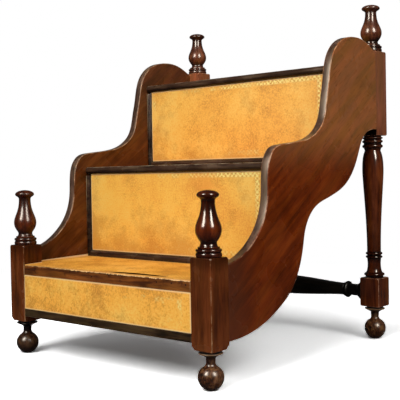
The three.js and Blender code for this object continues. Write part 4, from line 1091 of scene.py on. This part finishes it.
# The floor: a wide sheet of white paper. It takes the soft shadow of the steps, and away from them it is
# plain white. The camera sees it as an over-lit studio sweep, so that its shadow stays only where the
# steps keep light off.
floor_reach = 30
shadow_reach, plain_from = 0.8, 1.8
floor_mesh = bpy.data.meshes.new("floor")
sheet = bmesh.new()
bmesh.ops.create_grid(sheet, x_segments=1, y_segments=1, size=floor_reach)
sheet.to_mesh(floor_mesh)
sheet.free()
floor = bpy.data.objects.new("floor", floor_mesh)
bpy.context.scene.collection.objects.link(floor)
paper = bpy.data.materials.new("white_paper_floor")
paper.use_nodes = True
tree = paper.node_tree
path = add_node(tree, "ShaderNodeLightPath")
lit = add_node(tree, "ShaderNodeMapRange", inputs={
    "Value": path.outputs["Is Camera Ray"], "To Min": 0.5, "To Max": 2.55})
exposure = add_node(tree, "ShaderNodeMath", {"operation": "MULTIPLY_ADD"}, {
    0: path.outputs["Is Glossy Ray"], 1: -0.4, 2: lit.outputs[0]})
sheet_colour = add_node(tree, "ShaderNodeCombineColor", inputs={
    0: exposure.outputs[0], 1: exposure.outputs[0], 2: exposure.outputs[0]})
matt = add_node(tree, "ShaderNodeBsdfDiffuse", inputs={"Color": sheet_colour.outputs[0]})
white = add_node(tree, "ShaderNodeEmission", inputs={"Color": (1, 1, 1, 1), "Strength": 1})
spot = add_node(tree, "ShaderNodeTexCoord")
away = add_node(tree, "ShaderNodeVectorMath", {"operation": "LENGTH"}, {0: spot.outputs["Object"]})
fade = add_node(tree, "ShaderNodeMapRange", inputs={
    "Value": away.outputs["Value"], "From Min": shadow_reach, "From Max": plain_from})
seen = add_node(tree, "ShaderNodeMath", {"operation": "MULTIPLY"}, {
    0: fade.outputs[0], 1: path.outputs["Is Camera Ray"]})
both = add_node(tree, "ShaderNodeMixShader", inputs={
    0: seen.outputs[0], 1: matt.outputs[0], 2: white.outputs[0]})
tree.links.new(both.outputs[0], tree.nodes["Material Output"].inputs["Surface"])
floor_mesh.materials.append(paper)

# The studio: a pale room, a soft light overhead, three wide fill lights, and two tall strips that only gloss
# surfaces see. The strips make the two upright highlights on each turned bulb, and leave out the leathers
# of the treads, which they would whiten. The fill behind leaves out the floor, whose shadow it would lift.
world = bpy.data.worlds.new("pale_studio")
bpy.context.scene.world = world
world.use_nodes = True
tree = world.node_tree
room = tree.nodes["Background"]
path = add_node(tree, "ShaderNodeLightPath")
sight = add_node(tree, "ShaderNodeMath", {"operation": "MAXIMUM"}, {
    0: path.outputs["Is Camera Ray"], 1: path.outputs["Is Transmission Ray"]})
level = add_node(tree, "ShaderNodeMapRange", inputs={"Value": sight.outputs[0], "To Min": 0.165, "To Max": 1})
dimmed = add_node(tree, "ShaderNodeMath", {"operation": "MULTIPLY_ADD"}, {
    0: path.outputs["Is Glossy Ray"], 1: -0.09, 2: level.outputs[0]})
room.inputs["Color"].default_value = (1, 1, 1, 1)
tree.links.new(dimmed.outputs[0], room.inputs["Strength"])


def softbox(name, place, target, width, height, radiance, seen_by, colour="ffffff"):
    """A rectangular lamp turned to a target, of one brightness, that only matt or only gloss surfaces see."""
    lamp = bpy.data.lights.new(name, "AREA")
    lamp.color = srgb(colour)[:3]
    lamp.shape = "RECTANGLE"
    lamp.size = width
    lamp.size_y = height
    lamp.energy = radiance * math.pi * width * height
    holder = bpy.data.objects.new(name, lamp)
    holder.location = place
    holder.rotation_euler = (Vector(target) - Vector(place)).to_track_quat("-Z", "Y").to_euler()
    holder.visible_diffuse = "matt" in seen_by
    holder.visible_glossy = "glossy" in seen_by
    bpy.context.scene.collection.objects.link(holder)
    return holder


strip_front = softbox("strip_front", (-0.12, -2.1, 1.7), (0.07, 0.0, 0.9), 0.7, 1.4, 52, "glossy", "fff6e6")
strip_right = softbox("strip_right", (2.1, -0.6, 1.7), (0.1, -0.3, 0.9), 0.65, 1.4, 52, "glossy", "fff6e6")
softbox("fill_front", (0.3, -1.9, 1.75), (0.0, 0.0, 0.35), 1.4, 1.4, 6.0, "matt")
softbox("fill_right", (2.1, -0.5, 1.7), (0.1, 0.0, 0.4), 1.4, 1.4, 4.1, "matt")
fill_back = softbox("fill_back", (-0.7, 2.2, 2.5), (0.0, 0.0, 0.4), 1.4, 1.4, 4.0, "matt")
tread_skins = [bpy.data.objects[f"tread_{count}_leather_skin"] for count in ("one", "two", "three")]
for name, lamps, spared in (("spared_by_the_back_fill", [fill_back], [floor]),
                            ("spared_by_the_strips", [strip_front, strip_right], tread_skins)):
    group = bpy.data.collections.new(name)
    for holder in spared:
        group.objects.link(holder)
    for member in group.collection_objects:
        member.light_linking.link_state = "EXCLUDE"
    for lamp in lamps:
        lamp.light_linking.receiver_collection = group
softbox("overhead", (0.0, -0.3, 2.6), (0.0, 0.0, 0.0), 0.7, 0.7, 9.2, "matt")

# The camera: a pinhole fitted to the photograph, low and to the right of the steps, turned to the left.
focal_pixels = 829.995
image_pixels = 400
middle_x, middle_y = 196.145, 189.846
yaw, pitch, roll = 0.724, -0.018, -0.018
viewpoint = (1.2694, -1.4593, 0.3976)
forward = Vector((-math.sin(yaw) * math.cos(pitch), math.cos(yaw) * math.cos(pitch), math.sin(pitch)))
level_right = Vector((math.cos(yaw), math.sin(yaw), 0))
level_up = level_right.cross(forward)
right = level_right * math.cos(roll) + level_up * math.sin(roll)
up = level_up * math.cos(roll) - level_right * math.sin(roll)
camera = bpy.data.cameras.new("camera")
camera.sensor_width = 36
camera.lens = focal_pixels / image_pixels * camera.sensor_width
camera.shift_x = (image_pixels / 2 - middle_x) / image_pixels
camera.shift_y = (middle_y - image_pixels / 2) / image_pixels
viewer = bpy.data.objects.new("camera", camera)
frame_turn = Matrix((right, up, -forward)).transposed().to_4x4()
viewer.matrix_world = Matrix.Translation(viewpoint) @ frame_turn
bpy.context.scene.collection.objects.link(viewer)
bpy.context.scene.camera = viewer
bpy.context.scene.view_settings.view_transform = "Standard"
